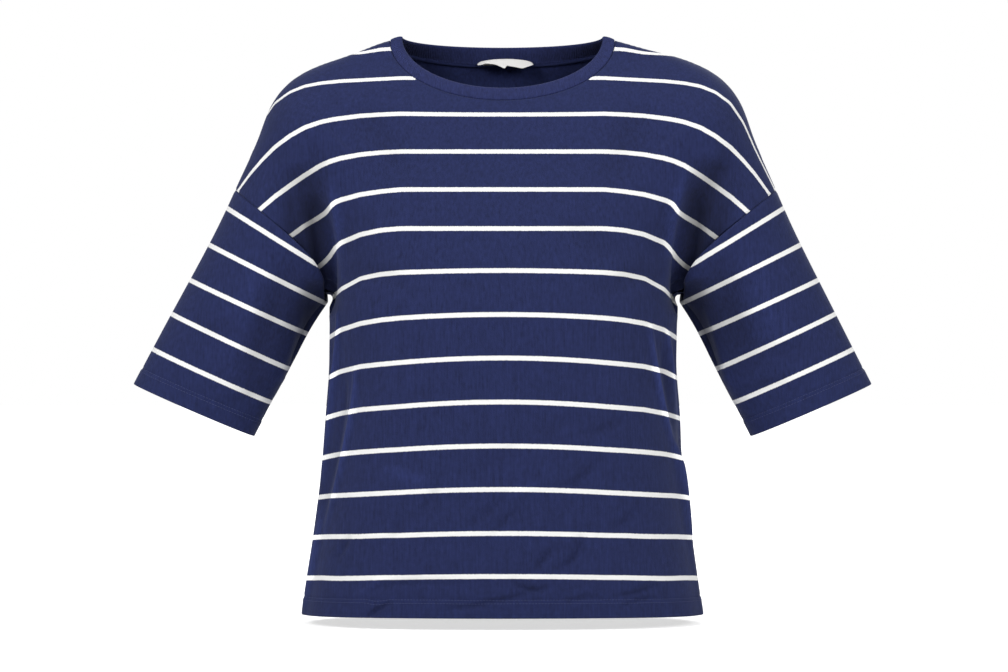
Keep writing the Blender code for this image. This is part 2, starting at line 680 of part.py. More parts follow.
def main():
    for leftover in list(bpy.data.objects):
        bpy.data.objects.remove(leftover, do_unlink=True)
    knit = cloth("navy_knit", NAVY, 0.9)
    rib = cloth("navy_rib", NAVY, 0.9)
    woven = cloth("label_weave", WHITE, 0.7)
    make_body_panel("front", True, knit)
    make_body_panel("back", False, knit)
    make_sleeve("sleeve_right", 1, knit)
    make_sleeve("sleeve_left", -1, knit)
    make_neckband(rib)
    make_label(woven)


main()
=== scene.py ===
"""Looks for a striped half-sleeve knit top: cloth, creases, stripes, rib, sewing, light, camera.

Metres, +Z up, the front faces -Y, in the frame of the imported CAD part.
The cloth lies on the same form as the CAD solids: a torso and two arms, each a front and a back
depth over the front view, joined by a soft valley. Every sheet is a fine grid of points between
its own seams on that form, then creased, striped and given its turned edges.
"""
import functools
import math

import bpy
import numpy as np
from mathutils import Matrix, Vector

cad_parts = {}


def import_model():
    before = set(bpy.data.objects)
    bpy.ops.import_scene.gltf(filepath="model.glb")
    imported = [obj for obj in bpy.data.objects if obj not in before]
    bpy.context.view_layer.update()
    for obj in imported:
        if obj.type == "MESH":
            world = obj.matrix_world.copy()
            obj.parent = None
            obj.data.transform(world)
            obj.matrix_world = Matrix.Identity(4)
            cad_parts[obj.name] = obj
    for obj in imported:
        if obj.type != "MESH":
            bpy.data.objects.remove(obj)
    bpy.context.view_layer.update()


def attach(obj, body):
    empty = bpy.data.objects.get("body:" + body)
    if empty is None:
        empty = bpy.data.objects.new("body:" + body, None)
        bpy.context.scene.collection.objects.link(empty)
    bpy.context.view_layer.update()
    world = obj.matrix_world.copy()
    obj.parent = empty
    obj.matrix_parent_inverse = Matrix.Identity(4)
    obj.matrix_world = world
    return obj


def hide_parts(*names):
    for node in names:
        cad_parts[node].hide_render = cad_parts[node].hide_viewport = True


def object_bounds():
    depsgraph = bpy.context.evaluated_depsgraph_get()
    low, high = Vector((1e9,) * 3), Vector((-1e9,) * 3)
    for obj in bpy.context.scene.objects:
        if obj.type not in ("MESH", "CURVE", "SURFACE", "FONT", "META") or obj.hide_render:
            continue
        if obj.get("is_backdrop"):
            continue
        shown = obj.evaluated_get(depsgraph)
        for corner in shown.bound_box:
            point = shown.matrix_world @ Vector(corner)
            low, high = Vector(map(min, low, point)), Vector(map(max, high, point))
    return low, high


SEAM_GAP = 0.0003  # between two sewn pieces
CLEARANCE = SEAM_GAP / 2  # each piece's half of it

NECK_HALF_WIDTH = 0.1125  # neck point to centre, along the seam
NECK_POINT_HEIGHT = 0.005
FRONT_NECK_DROP = 0.0625  # neck point down to the centre front seam
BACK_NECK_DROP = 0.0195
BAND_HALF_WIDTH = 0.1003  # the band's free edge
BAND_PEAK = 0.0090
BAND_FRONT_DROP = 0.0535
BAND_BACK_DROP = 0.0085
BAND_FRONT_DEPTH = 0.0425
BAND_BACK_DEPTH = 0.0430
BAND_WALL = 0.0018  # two layers of rib

SHOULDER_POINT = -0.145  # height where the dropped shoulder meets the sleeve
UNDERARM = -0.255  # height where front, back and sleeve meet
BODY_HEM = -0.5655  # at the centre front
HEM_SIDE_DROP = 0.0025  # the hem hangs lower at the side seams
ARMHOLE_BOW_FRONT = 0.0255  # how far the armhole seam bows towards the body
ARMHOLE_BOW_BACK = 0.0180
ARMHOLE_BOW_POWER = 5
UNDERARM_TURN = 0.6  # how far down the armhole its normals start to turn
UNDERARM_EASE = 0.0022  # how far the sleeve's edge drops there, where four edges meet
CUFF_SLOPE = math.radians(23.4)  # the cuff's edge, below level, from the outside in

SLEEVE_HALF_WIDTH = 0.0652  # across the sleeve in the front view
SLEEVE_FLARE = 0.035  # how far below the underarm the sleeve widens to meet the side
SHOULDER_ROUND = 0.050  # how far from the shoulder line its rounding reaches
VALLEY_POWER = 3.0  # higher is a sharper valley between torso and arm
SQUARENESS = 0.55  # 0 is an ellipse; more fills out the section's corners

LABEL_WIDTH = 0.057
LABEL_REACH = 0.011  # how far forwards it falls
LABEL_WALL = 0.0010
LABEL_OFFSET = 0.0028  # its middle, to the right of the centre back

# The outer edge in the front view, from over the neck to past the cuff, and how deep the
# rounding behind that edge is, to the front and to the back.
OUTLINE_COLUMNS = ("x", "z", "front_round", "back_round")
OUTLINE = (
    ("over the neck", 0.0000, 0.0220, 0.010, 0.036),
    ("neck point", 0.1125, 0.0050, 0.016, 0.032),
    ("mid shoulder", 0.1500, -0.0073, 0.032, 0.040),
    ("shoulder", 0.1860, -0.0192, 0.046, 0.050),
    ("shoulder tip", 0.2168, -0.0370, 0.056, 0.058),
    ("upper arm", 0.2347, -0.0600, 0.060, 0.062),
    ("arm", 0.2463, -0.0900, 0.061, 0.063),
    ("drop", 0.2658, -0.1350, 0.060, 0.062),
    ("sleeve", 0.2792, -0.1650, 0.059, 0.061),
    ("mid sleeve", 0.3248, -0.2550, 0.050, 0.051),
    ("cuff", 0.3685, -0.3390, 0.041, 0.041),
    ("past the cuff", 0.4000, -0.4000, 0.040, 0.040),
)

# The torso by height: its half-width (0 means it has no side of its own there, above the
# valley) and its depth in the middle, to the front and to the back.
SECTION_COLUMNS = ("z", "half_width", "front", "back")
SECTIONS = (
    ("above the neck", 0.030, 0.000, 0.0030, 0.0460),
    ("neck point", 0.005, 0.000, 0.0130, 0.0500),
    ("neck side", -0.018, 0.000, 0.0230, 0.0530),
    ("neck front", -0.038, 0.000, 0.0360, 0.0620),
    ("neck base", -0.059, 0.480, 0.0505, 0.0720),
    ("upper chest", -0.087, 0.312, 0.0665, 0.0850),
    ("chest", -0.127, 0.230, 0.0860, 0.0990),
    ("armhole", -0.167, 0.191, 0.1040, 0.1090),
    ("bust", -0.207, 0.171, 0.1165, 0.1150),
    ("underarm", -0.255, 0.1740, 0.1255, 0.1165),
    ("ribs", -0.300, 0.1720, 0.1290, 0.1150),
    ("waist", -0.360, 0.1740, 0.1300, 0.1130),
    ("hip line", -0.420, 0.1802, 0.1300, 0.1130),
    ("hip", -0.480, 0.1880, 0.1300, 0.1145),
    ("hem", -0.568, 0.2005, 0.1300, 0.1170),
)

# The largest folds hang from the underarms down to the hem, front and back alike.
# Each runs from one height to another; its place is measured round the side from the seam.
FOLD_COLUMNS = ("top", "bottom", "top_from_seam", "bottom_from_seam", "breadth", "height",
                "left_at_bottom")
FOLDS = (
    ("inner side fold", -0.270, -0.560, 0.062, 0.036, 0.0110, 0.0034, 0.4),
    ("outer side fold", -0.262, -0.450, 0.026, 0.014, 0.0080, 0.0024, 0.0),
)

# The shoulders sit a little to one side: how far the upper garment leans, and between which
# heights and distances from the centre the lean sets in.
LEAN_SIDEWAYS = 0.0032
LEAN_UPWARDS = 0.0016
LEAN_HEIGHTS = (-0.36, -0.12)
LIFT_HEIGHTS = (-0.14, -0.06)
LEAN_DISTANCES = (0.115, 0.175)

# Grid steps along each seam.
SHOULDER_STEPS = 10
NECK_STEPS = 16
ARMHOLE_STEPS = 12
SIDE_STEPS = 13
SIDE_CROWDING = 0.55  # how much closer the columns stand at the sides than in the middle


# ---- curves
def column(table, columns, name):
    """One named column of a table whose rows start with their own name."""
    return np.array([row[1 + columns.index(name)] for row in table])


def smooth_curve(knots, values, places):
    """A natural cubic spline through the values at rising knots."""
    gaps = np.diff(knots)
    slopes = np.diff(values) / gaps
    count = len(knots)
    system = np.eye(count)
    bends = np.zeros(count)
    row = np.arange(1, count - 1)
    system[row, row - 1], system[row, row + 1] = gaps[:-1], gaps[1:]
    system[row, row] = 2 * (gaps[:-1] + gaps[1:])
    bends[1:-1] = 6 * (slopes[1:] - slopes[:-1])
    bends = np.linalg.solve(system, bends)
    places = np.clip(places, knots[0], knots[-1])
    span = np.clip(np.searchsorted(knots, places) - 1, 0, count - 2)
    before = places - knots[span]
    after = knots[span + 1] - places
    gap = gaps[span]
    return ((bends[span] * after ** 3 + bends[span + 1] * before ** 3) / (6 * gap)
            + (values[span] / gap - bends[span] * gap / 6) * after
            + (values[span + 1] / gap - bends[span + 1] * gap / 6) * before)


def lengths(points):
    """The length along a line of points, up to each of them."""
    return np.concatenate([[0], np.cumsum(np.linalg.norm(np.diff(points, axis=0), axis=1))])


def read_at(places, along, points):
    """A line of points read at places along it."""
    return np.stack([np.interp(places, along, axis) for axis in points.T], axis=1)


def outline_points(step=0.004):
    """The outer edge as close points: x, z and the two rounding depths."""
    rows = np.stack([column(OUTLINE, OUTLINE_COLUMNS, name) for name in OUTLINE_COLUMNS], axis=1)
    along = lengths(rows[:, :2])
    places = np.linspace(0, along[-1], int(along[-1] / step))
    return np.stack([smooth_curve(along, values, places) for values in rows.T], axis=1)


EDGE = outline_points()
CUFF = np.array(next(row[1:3] for row in OUTLINE if row[0] == "cuff"))
CUFF_WAY = np.array([-math.cos(CUFF_SLOPE), -math.sin(CUFF_SLOPE)])  # along its edge, inwards
LEVELS = column(SECTIONS, SECTION_COLUMNS, "z")[::-1]


def section(name, z):
    """A column of the torso's sections at the heights z."""
    values = column(SECTIONS, SECTION_COLUMNS, name)[::-1]
    if name == "half_width":
        widths = np.where(values > 0, values, np.inf)
        return np.clip(smooth_curve(LEVELS, widths ** -2.0, z), 0, None)
    return smooth_curve(LEVELS, values, z)


def edge_distance(x, z):
    """Distance inwards from the outer edge, and the rounding depths there."""
    start, step = EDGE[:-1, :2], np.diff(EDGE[:, :2], axis=0)
    reach = np.stack([x, z], axis=-1)[..., None, :] - start
    share = np.clip((reach * step).sum(-1) / (step ** 2).sum(-1), 0, 1)
    off = reach - share[..., None] * step
    far = (off ** 2).sum(-1)
    nearest = far.argmin(-1)[..., None]
    cross = np.take_along_axis(reach[..., 1] * step[:, 0] - reach[..., 0] * step[:, 1], nearest, -1)
    distance = np.sqrt(np.take_along_axis(far, nearest, -1))[..., 0]
    place = nearest[..., 0] + np.take_along_axis(share, nearest, -1)[..., 0]
    numbers = np.arange(len(EDGE))
    rounds = [np.interp(place, numbers, EDGE[:, pick]) for pick in (2, 3)]
    return np.where(cross[..., 0] < 0, distance, -distance), rounds[0], rounds[1]


def half_width(z):
    """The torso's half width at the heights z."""
    return np.clip(section("half_width", z), 1, None) ** -0.5


def underarm_point():
    return np.array([half_width(UNDERARM), UNDERARM])


# The sleeve's inner edge meets the torso's side exactly at the underarm.
UNDERARM_HALF_WIDTH = float(edge_distance(*underarm_point())[0]) / 2


# ---- the form
def exact_depth_squared(x, z, front):
    """The form's depth squared at a place; below zero is outside it."""
    inwards, front_round, back_round = edge_distance(x, z)
    flare = np.clip(1 - (UNDERARM - z) / SLEEVE_FLARE, 0, 1) ** 2
    arm_half = SLEEVE_HALF_WIDTH + (UNDERARM_HALF_WIDTH - SLEEVE_HALF_WIDTH) * flare
    arm_round = front_round if front else back_round
    arm = arm_round ** 2 * (inwards / arm_half) * (2 - inwards / arm_half)
    across = x ** 2 * section("half_width", z)
    rounding = np.where(across < 1, np.clip(inwards / SHOULDER_ROUND, None, 1), 1)
    torso = (section("front" if front else "back", z) ** 2
             * (1 - across) * (1 + SQUARENESS * across) * rounding * (2 - rounding))
    both = (np.clip(arm, 0, None) ** VALLEY_POWER + np.clip(torso, 0, None) ** VALLEY_POWER)
    return np.where(both > 0, both ** (1 / VALLEY_POWER), np.maximum(arm, torso))


TABLE_STEP = 0.002
TABLE_START = np.array([-0.010, -0.610])
TABLE_COUNT = (199, 325)


@functools.cache
def depth_table(front):
    """The form's depth squared at regular places, worked out once."""
    x, z = (start + TABLE_STEP * np.arange(count) for start, count in zip(TABLE_START, TABLE_COUNT))
    return np.array([exact_depth_squared(np.full(len(z), abs(place)), z, front) for place in x])


def depth_squared(x, z, front):
    """The form's depth squared, read smoothly from its table."""
    table = depth_table(front)
    spot = [(value - start) / TABLE_STEP for value, start in zip((np.abs(x), z), TABLE_START)]
    whole = [np.clip(np.floor(value).astype(int), 1, count - 3)
             for value, count in zip(spot, TABLE_COUNT)]
    weights = []
    for value, base in zip(spot, whole):
        t = value - base
        weights.append((((2 - t) * t - 1) * t / 2, ((3 * t - 5) * t * t + 2) / 2,
                        ((4 - 3 * t) * t + 1) * t / 2, (t - 1) * t * t / 2))
    return sum(weights[0][i] * weights[1][j] * table[whole[0] + i - 1, whole[1] + j - 1]
               for i in range(4) for j in range(4))


def outward(points, front):
    """The form's surface value and its outward gradient at the points."""
    x, y, z = points[..., 0], points[..., 1], points[..., 2]
    reach = 0.0003
    value = y ** 2 - depth_squared(x, z, front)
    slope_x = (depth_squared(x + reach, z, front) - depth_squared(x - reach, z, front)) / (2 * reach)
    slope_z = (depth_squared(x, z + reach, front) - depth_squared(x, z - reach, front)) / (2 * reach)
    return value, np.stack([-slope_x, 2 * y, -slope_z], axis=-1)


def settle(points, front, rounds=3):
    """Move points along the surface's slope until they lie on the form."""
    for _ in range(rounds):
        value, slope = outward(points, front)
        size = np.clip((slope ** 2).sum(-1), 1e-9, None)
        points = points - (value / size)[..., None] * slope
    points[..., 1] = -np.abs(points[..., 1]) if front else np.abs(points[..., 1])
    return points


def normals(points, front):
    return unit(outward(points, front)[1])


def on_form(x, z, front):
    """The form's points at places in the front view."""
    depth = np.sqrt(np.clip(depth_squared(x, z, front), 0, None))
    return np.stack([x, -depth if front else depth, z], axis=-1)


def soft_step(share):
    share = np.clip(share, 0, 1)
    return share * share * (3 - 2 * share)


def soft_ramp(value, ends):
    """0 before the first end, 1 past the second, a smooth rise between."""
    return soft_step((value - ends[0]) / (ends[1] - ends[0]))


def leaning(points):
    """The shoulders' small shift to one side."""
    x, z = points[..., 0], points[..., 2]
    far = soft_ramp(np.abs(x), LEAN_DISTANCES)
    sideways = LEAN_SIDEWAYS * far * soft_ramp(z, LEAN_HEIGHTS)
    upwards = LEAN_UPWARDS * far * soft_ramp(z, LIFT_HEIGHTS) * np.sign(x)
    return points + np.stack([sideways, 0 * x, upwards], axis=-1)


def folds(points, front):
    """How far the side folds stand out at the points."""
    x, z = np.abs(points[..., 0]), points[..., 2]
    width, depth = half_width(z), section("front" if front else "back", z)
    from_seam = np.arctan2(np.abs(points[..., 1]) / depth, x / width) * (width + depth) / 2
    height = np.zeros_like(z)
    for row in FOLDS:
        fold = dict(zip(FOLD_COLUMNS, row[1:]))
        down = (fold["top"] - z) / (fold["top"] - fold["bottom"])
        place = fold["top_from_seam"] + down * (fold["bottom_from_seam"] - fold["top_from_seam"])
        lost = (1 - fold["left_at_bottom"]) * soft_step((down - 0.5) / 0.5)
        fade = soft_step(down / 0.25) * (1 - lost)
        height += fold["height"] * fade * np.exp(-((from_seam - place) / fold["breadth"]) ** 2)
    return height


# ---- seams
def crowded(steps):
    """Shares from 0 to 1, closer together towards both ends."""
    return (1 - np.cos(np.linspace(0, math.pi, steps + 1))) / 2


def even_places(points, steps):
    """Steps + 1 evenly spaced points along a line."""
    along = lengths(points)
    return read_at(np.linspace(0, along[-1], steps + 1), along, points)


def shoulder_point():
    return np.array([np.interp(-SHOULDER_POINT, -EDGE[:, 1], EDGE[:, 0]), SHOULDER_POINT])


def sleeve_direction():
    """Down the sleeve in the front view."""
    x, z = CUFF - shoulder_point()
    return np.array([x, 0, z]) / math.hypot(x, z)


def shoulder_seam(steps):
    """From the neck point out to the shoulder point."""
    inside = (EDGE[:, 0] > NECK_HALF_WIDTH + 0.002) & (EDGE[:, 1] > SHOULDER_POINT + 0.002)
    line = np.vstack([(NECK_HALF_WIDTH, NECK_POINT_HEIGHT), EDGE[inside, :2], shoulder_point()])
    return even_places(np.stack([line[:, 0], np.zeros(len(line)), line[:, 1]], axis=1), steps)


def unit(vectors):
    return vectors / np.linalg.norm(vectors, axis=-1, keepdims=True)


def shifted_seam(points, out, reference, shift):
    """A seam's points moved along the cloth, across the seam."""
    along = np.gradient(points, axis=0)
    along[-1] = (0, 1, 0)
    across = unit(np.cross(out, along))
    return points + shift * across * np.sign(across @ np.array(reference))[:, None]


def neck_seam(front, shift=0.0, steps=NECK_STEPS):
    """From the centre out to the neck point: points and normals.

    A shift above zero moves the line towards the body, one below zero towards the band."""
    turn = np.linspace(0, math.pi / 2, 200)
    drop = FRONT_NECK_DROP if front else BACK_NECK_DROP
    line = on_form(NECK_HALF_WIDTH * np.sin(turn), NECK_POINT_HEIGHT - drop * np.cos(turn), front)
    line[-1, 1] = 0
    line = even_places(line, steps // 2)
    out = normals(line, front)
    moved = shifted_seam(line, out, (1, 0, -1), shift)
    moved[0, 0] = 0
    return moved, out


def armhole_seam(front, shift, steps):
    """From the shoulder point down to the underarm: points and normals.

    A shift above zero moves the line towards the sleeve, one below zero towards the body.
    Towards the underarm it moves sideways, because there the two pieces face each other."""
    start = shoulder_point()
    chord = underarm_point() - start
    towards_body = np.array([chord[1], -chord[0]]) / np.hypot(*chord)
    share = crowded(steps)
    bow = (ARMHOLE_BOW_FRONT if front else ARMHOLE_BOW_BACK) * share * (1 - share ** ARMHOLE_BOW_POWER)
    line = start + share[:, None] * chord + bow[:, None] * towards_body
    points = on_form(line[:, 0], line[:, 1], front)
    points[[0, -1], 1] = 0
    turn = underarm_turn(steps)
    out = normals(points, front)
    between_pieces = unit((1 - turn) * out + turn * np.array([0, 0, -1]))
    moved = shifted_seam(points, between_pieces, (1, 0, -0.5), shift * (1 + turn))
    moved[0] = points[0] + shift * sleeve_direction()
    return moved, out


def underarm_turn(steps):
    """From 0 to 1 down the armhole, as its valley gets steep."""
    return soft_ramp(np.linspace(0, 1, steps + 1), (UNDERARM_TURN, 1))[:, None]


def side_seam(steps):
    """From the underarm down to the hem."""
    z = np.linspace(UNDERARM, BODY_HEM - HEM_SIDE_DROP, steps + 1)
    return np.stack([half_width(z), np.zeros(len(z)), z], axis=1)


def body_hem(front, steps):
    """From the centre out to the side seam."""
    turn = np.sin(np.linspace(0, math.pi / 2, 200))
    line = on_form(half_width(BODY_HEM) * turn, BODY_HEM - HEM_SIDE_DROP * turn ** 4, front)
    line[-1] = side_seam(1)[-1]
    return even_places(line, steps)


def mirror(points):
    return points * np.array([-1, 1, 1])


def both_sides(half):
    """A line from the centre out, with its mirror image before it."""
    return np.concatenate([mirror(half[:0:-1]), half])


# ---- panels
def spacing(steps, crowding):
    """Places from -1 to 1, closer together towards both ends."""
    even = np.linspace(-1, 1, steps + 1)
    return (1 - crowding) * even + crowding * np.sin(even * math.pi / 2)


def closed_line(points):
    """A loop of points with its first one again at the end."""
    return np.concatenate([points, points[:1]])


def respaced(points, places):
    """A line of points read again at places from -1 to 1 along it."""
    along = lengths(points)
    return read_at((places + 1) / 2 * along[-1], along, points)


def filled_patch(top, bottom, left, right, down, over):
    """A grid between four border lines, as a Coons patch."""
    down, over = down[:, None, None], over[None, :, None]
    ruled = ((1 - down) * top[None] + down * bottom[None]
             + (1 - over) * left[:, None] + over * right[:, None])
    corners = ((1 - down) * ((1 - over) * top[0] + over * top[-1])
               + down * ((1 - over) * bottom[0] + over * bottom[-1]))
    return ruled - corners


def shares(places):
    """How much each inner point leans on its two neighbours."""
    before, after = 1 / np.diff(places)[:-1], 1 / np.diff(places)[1:]
    return before / (before + after), after / (before + after)


def relaxed(grid, front, down, over, rounds):
    """Even out a grid's inner points on the form."""
    up_share, down_share = (share[:, None, None] for share in shares(down))
    left_share, right_share = (share[None, :, None] for share in shares(over))
    for count in range(rounds):
        across = left_share * grid[1:-1, :-2] + right_share * grid[1:-1, 2:]
        along = up_share * grid[:-2, 1:-1] + down_share * grid[2:, 1:-1]
        grid[1:-1, 1:-1] = settle((across + along) / 2, front, 1)
    grid[1:-1, 1:-1] = settle(grid[1:-1, 1:-1], front)
    return grid


def cuff_edge(front, steps):
    """The sleeve's lower edge, from the outside in."""
    reach = np.linspace(0.10, 0.16, 600)
    tries = CUFF + reach[:, None] * CUFF_WAY
    outside = depth_squared(tries[:, 0], tries[:, 1], front) <= 0
    line = CUFF + (crowded(steps) * reach[outside.argmax()])[:, None] * CUFF_WAY
    points = on_form(line[:, 0], line[:, 1], front)
    points[[0, -1], 1] = 0
    return points


def around(front_half, back_half):
    """Two lines with shared ends as one closed loop."""
    return np.concatenate([front_half, back_half[-2:0:-1]])


def all_round(front, back):
    """Half lines as one loop: front, right, back, left."""
    right = np.concatenate([front, back[-2::-1]])
    return np.concatenate([right, mirror(right[-2:0:-1])])


def band_edge(count):
    """The band's free edge, half an ellipse in each view."""
    turn = np.linspace(0, 2 * math.pi, count, endpoint=False)
    ahead = np.cos(turn) > 0
    depth = np.where(ahead, BAND_FRONT_DEPTH, BAND_BACK_DEPTH)
    drop = np.where(ahead, BAND_FRONT_DROP, BAND_BACK_DROP)
    return np.stack([BAND_HALF_WIDTH * np.sin(turn), -depth * np.cos(turn),
                     BAND_PEAK - drop * np.abs(np.cos(turn))], axis=1)


# ---- the scene's own sizes
STRIPE_HALF_WIDTH = 0.0023
THREAD_RADIUS = 0.00022
LABEL_RISE = 0.0076  # how far the label's crest stands above its seam
LABEL_TURN = 0.0100  # how far its free edge turns down in front of the crest
LABEL_WAVE = ((-1, -0.7, -0.35, -0.02, 0.06, 0.35, 0.62, 1),
              (0, 0.0042, 0.0026, -0.0016, 0.0014, -0.0002, -0.0026, 0))
STRIPE_BLUR = 0.0004
SEWN_ROWS = 2  # extra rows at a sewn top edge
SIDE_EDGE_GAP = 0.00004  # from a turned-in side edge to the middle plane
FOLD_SHADE_DEPTH = 0.0085  # a trough this deep has the whole painted fold shade
RIDGE_SHADE_HEIGHT = 0.0048  # a ridge this high is painted that much lighter, a painted highlight
FLANGE = 0.0030  # how far a sewn edge turns inwards
EDGE_DIP = 0.0007  # how deep the cloth sinks at a sewn edge
HEM_DEPTH = 0.018  # the hem's stitches above its edge
HEM_LAYER = 0.0019  # from the cloth's outside to the turned hem's inner layer
STITCH_ROWS = (HEM_DEPTH, HEM_DEPTH - 0.0035)
HEM_ROWS = 18  # rows of the hem's inner layer
# the hem's turned edge: how far each row lies inwards and upwards
HEM_TURN = ((0.0, 0.0006), (0.0004, 0.0), (0.0010, -0.0002), (0.0016, 0.0), (HEM_LAYER, 0.0008))
SLEEVE_HALF_STEPS, SLEEVE_ROWS, SLEEVE_ROUNDS = 48, 72, 60
STITCH_PITCH = 0.0031
STITCH_SHARE = 0.78  # how much of the pitch a stitch takes up
STITCH_SIDES = 6
# one stitch: place along it, height over the cloth, share of the thread's radius
STITCH_SECTION = ((0.0, -0.0002, 0.55), (0.12, 0.00002, 0.95), (0.5, 0.0001, 1.0),
                  (0.88, 0.00002, 0.95), (1.0, -0.0002, 0.55))
BAND_STEPS = 128  # steps of the neckband's seam before its ribs
BAND_FOLD = 0.0011  # the band's free edge lies this far inwards
# the band's rows: share of the way up, distance inwards, how much of the rib shows
BAND_SECTION = (
    (0.00, 0.0012, 0.2), (0.03, 0.0002, 0.7), (0.10, -0.0001, 1.0), (0.25, -0.0004, 1.0),
    (0.45, -0.0005, 1.0), (0.65, -0.0004, 1.0), (0.80, -0.0001, 1.0), (0.91, 0.0003, 0.9),
    (0.98, 0.0008, 0.6), (1.00, 0.0011, 0.5), (0.975, 0.0016, 0.6), (0.90, 0.0020, 0.9),
    (0.70, 0.0021, 1.0), (0.45, 0.0021, 1.0), (0.20, 0.0020, 1.0), (0.02, 0.0021, 0.8),
    (-0.12, 0.0023, 0.5),
)
RIBS = 224
RIB_SAMPLES = 6  # points round the band for each rib
RIB_RISE = 0.00038
CAMERA_DISTANCE = 4.5
CAMERA_X, CAMERA_Z = 0.0015, -0.291
PHOTO_WIDTH = 1.008  # how much the picture shows in the garment's middle plane
FLOOR_HEIGHT = -0.5775
FLOOR_RADIUS = 14
BACKDROP_GLOW = 0.64
WORLD_LIGHT = 0.24
# soft square lights: place, height of the point aimed at, width and power
LIGHTS = (
    ("key", (-2.3, -2.5, 1.5), -0.25, 1.3, 82),
    ("fill", (2.5, -2.6, 1.3), -0.3, 1.4, 66),
    ("top", (0.0, -0.4, 2.2), -0.3, 1.8, 24),
    ("rear", (0.6, 3.2, 1.6), -0.3, 2.0, 60),
)
NAVY = (0.0128, 0.0190, 0.0740)
NAVY_RIB = (0.0130, 0.0178, 0.0680)
YARN_CONTRAST = (0.34, 1.62)  # the darkest and the lightest loops
STRIPE_WHITE = (0.80, 0.80, 0.79, 1)

# The pieces as cut, laid flat: width and length, and the area where it isn't a rectangle.
FRONT_CUT = ((0.780, 0.630), 0.312)
BACK_CUT = ((0.760, 0.630), 0.317)
SLEEVE_CUT = ((0.417, 0.250), 0.081)

# Refining steps: rows, columns, rounds of evening out.
LEVELS_OF_DETAIL = ((1, 1, 150), (2, 2, 50), (4, 4, 24), (8, 8, 8))

# The stripes as they are seen from the front: heights in millimetres below the neck's height,
# at distances from the middle. The first two rows are over the back and over the shoulder, then
# come the front's stripes from the top, and the last row is below the hem.
STRIPE_DISTANCES = (0, 102, 122, 142, 162, 168, 172, 176, 182, 198, 213, 228, 241, 253, 275)
STRIPES = """
-34 -34 -33 -30 -26 -24.2 -23 -21.8 -20 -14 -6 6 22 44 80
0 3.5 4.5 8 9.5 10.1 10.5 11.1 12 17 24 36 52 76 110
33 33 34 35 36 36.6 37 37.4 38 41 47 58 77.5 105 150
69.5 68.7 69.5 70.8 73.3 74.2 74.8 75.7 77 82.5 91 102.3 115.5 129.5 160
106.5 106.5 107.5 109.5 113.2 115 116.2 117.9 120.5 130.5 141 151.8 163 174 200
144.4 144.5 146.5 149.5 155 157.5 161 167 171.5 181 192 203 213 223 245
183.5 183.5 185.2 189.5 198 204 210.5 215 220.5 231 242 252 261 270 290
225.5 227.5 229.3 233.5 244.5 251 256 259.2 267 279 289 299 308 317 337
269.5 273 275 278.5 285 288.9 291.5 294.5 299 311 322 333 343 352 372
313 317.5 319.3 321.5 326.5 329.5 331.5 333.7 337 346 355 364 373 382 400
357 361.5 363 364.7 368.5 370.3 371.5 372.9 375 381 387 394 401 408 424
401 404.5 405.6 407 409 410.2 411 412 413.5 418 423 428 433 438 448
444.5 447.4 448.4 449.4 450.4 450.6 450.8 451.3 452 455 458 461 464 467 474
488.5 490.4 490.6 491.4 491.6 491.6 491.6 491.8 492 493 495 497 499 501 505
531.5 532.5 532.6 533.1 533.4 533.3 533.2 533 532.8 533 533 534 535 536 538
577 577 577 577 577 577 577 577 577 577 577 577 577 577 577
"""
BACK_STRIPE_DROP = 0.010  # how much lower the stripes run under the back of the neck
OVER_SHOULDER = 1  # the second row above is the stripe with that number less one

# The sleeves' stripes: distances in millimetres above the cuff's edge, at the outer and inner end.
SLEEVE_STRIPE_COLUMNS = ("outer", "inner")
SLEEVE_STRIPES = (
    ("under the hem", -4.0, -4.0),
    ("first", 39.7, 37.8),
    ("second", 79.3, 75.6),
    ("third", 117.4, 114.6),
    ("fourth", 157.1, 150.0),
    ("fifth", 197.6, 178.7),
    ("past the seam", 240.0, 212.0),
)

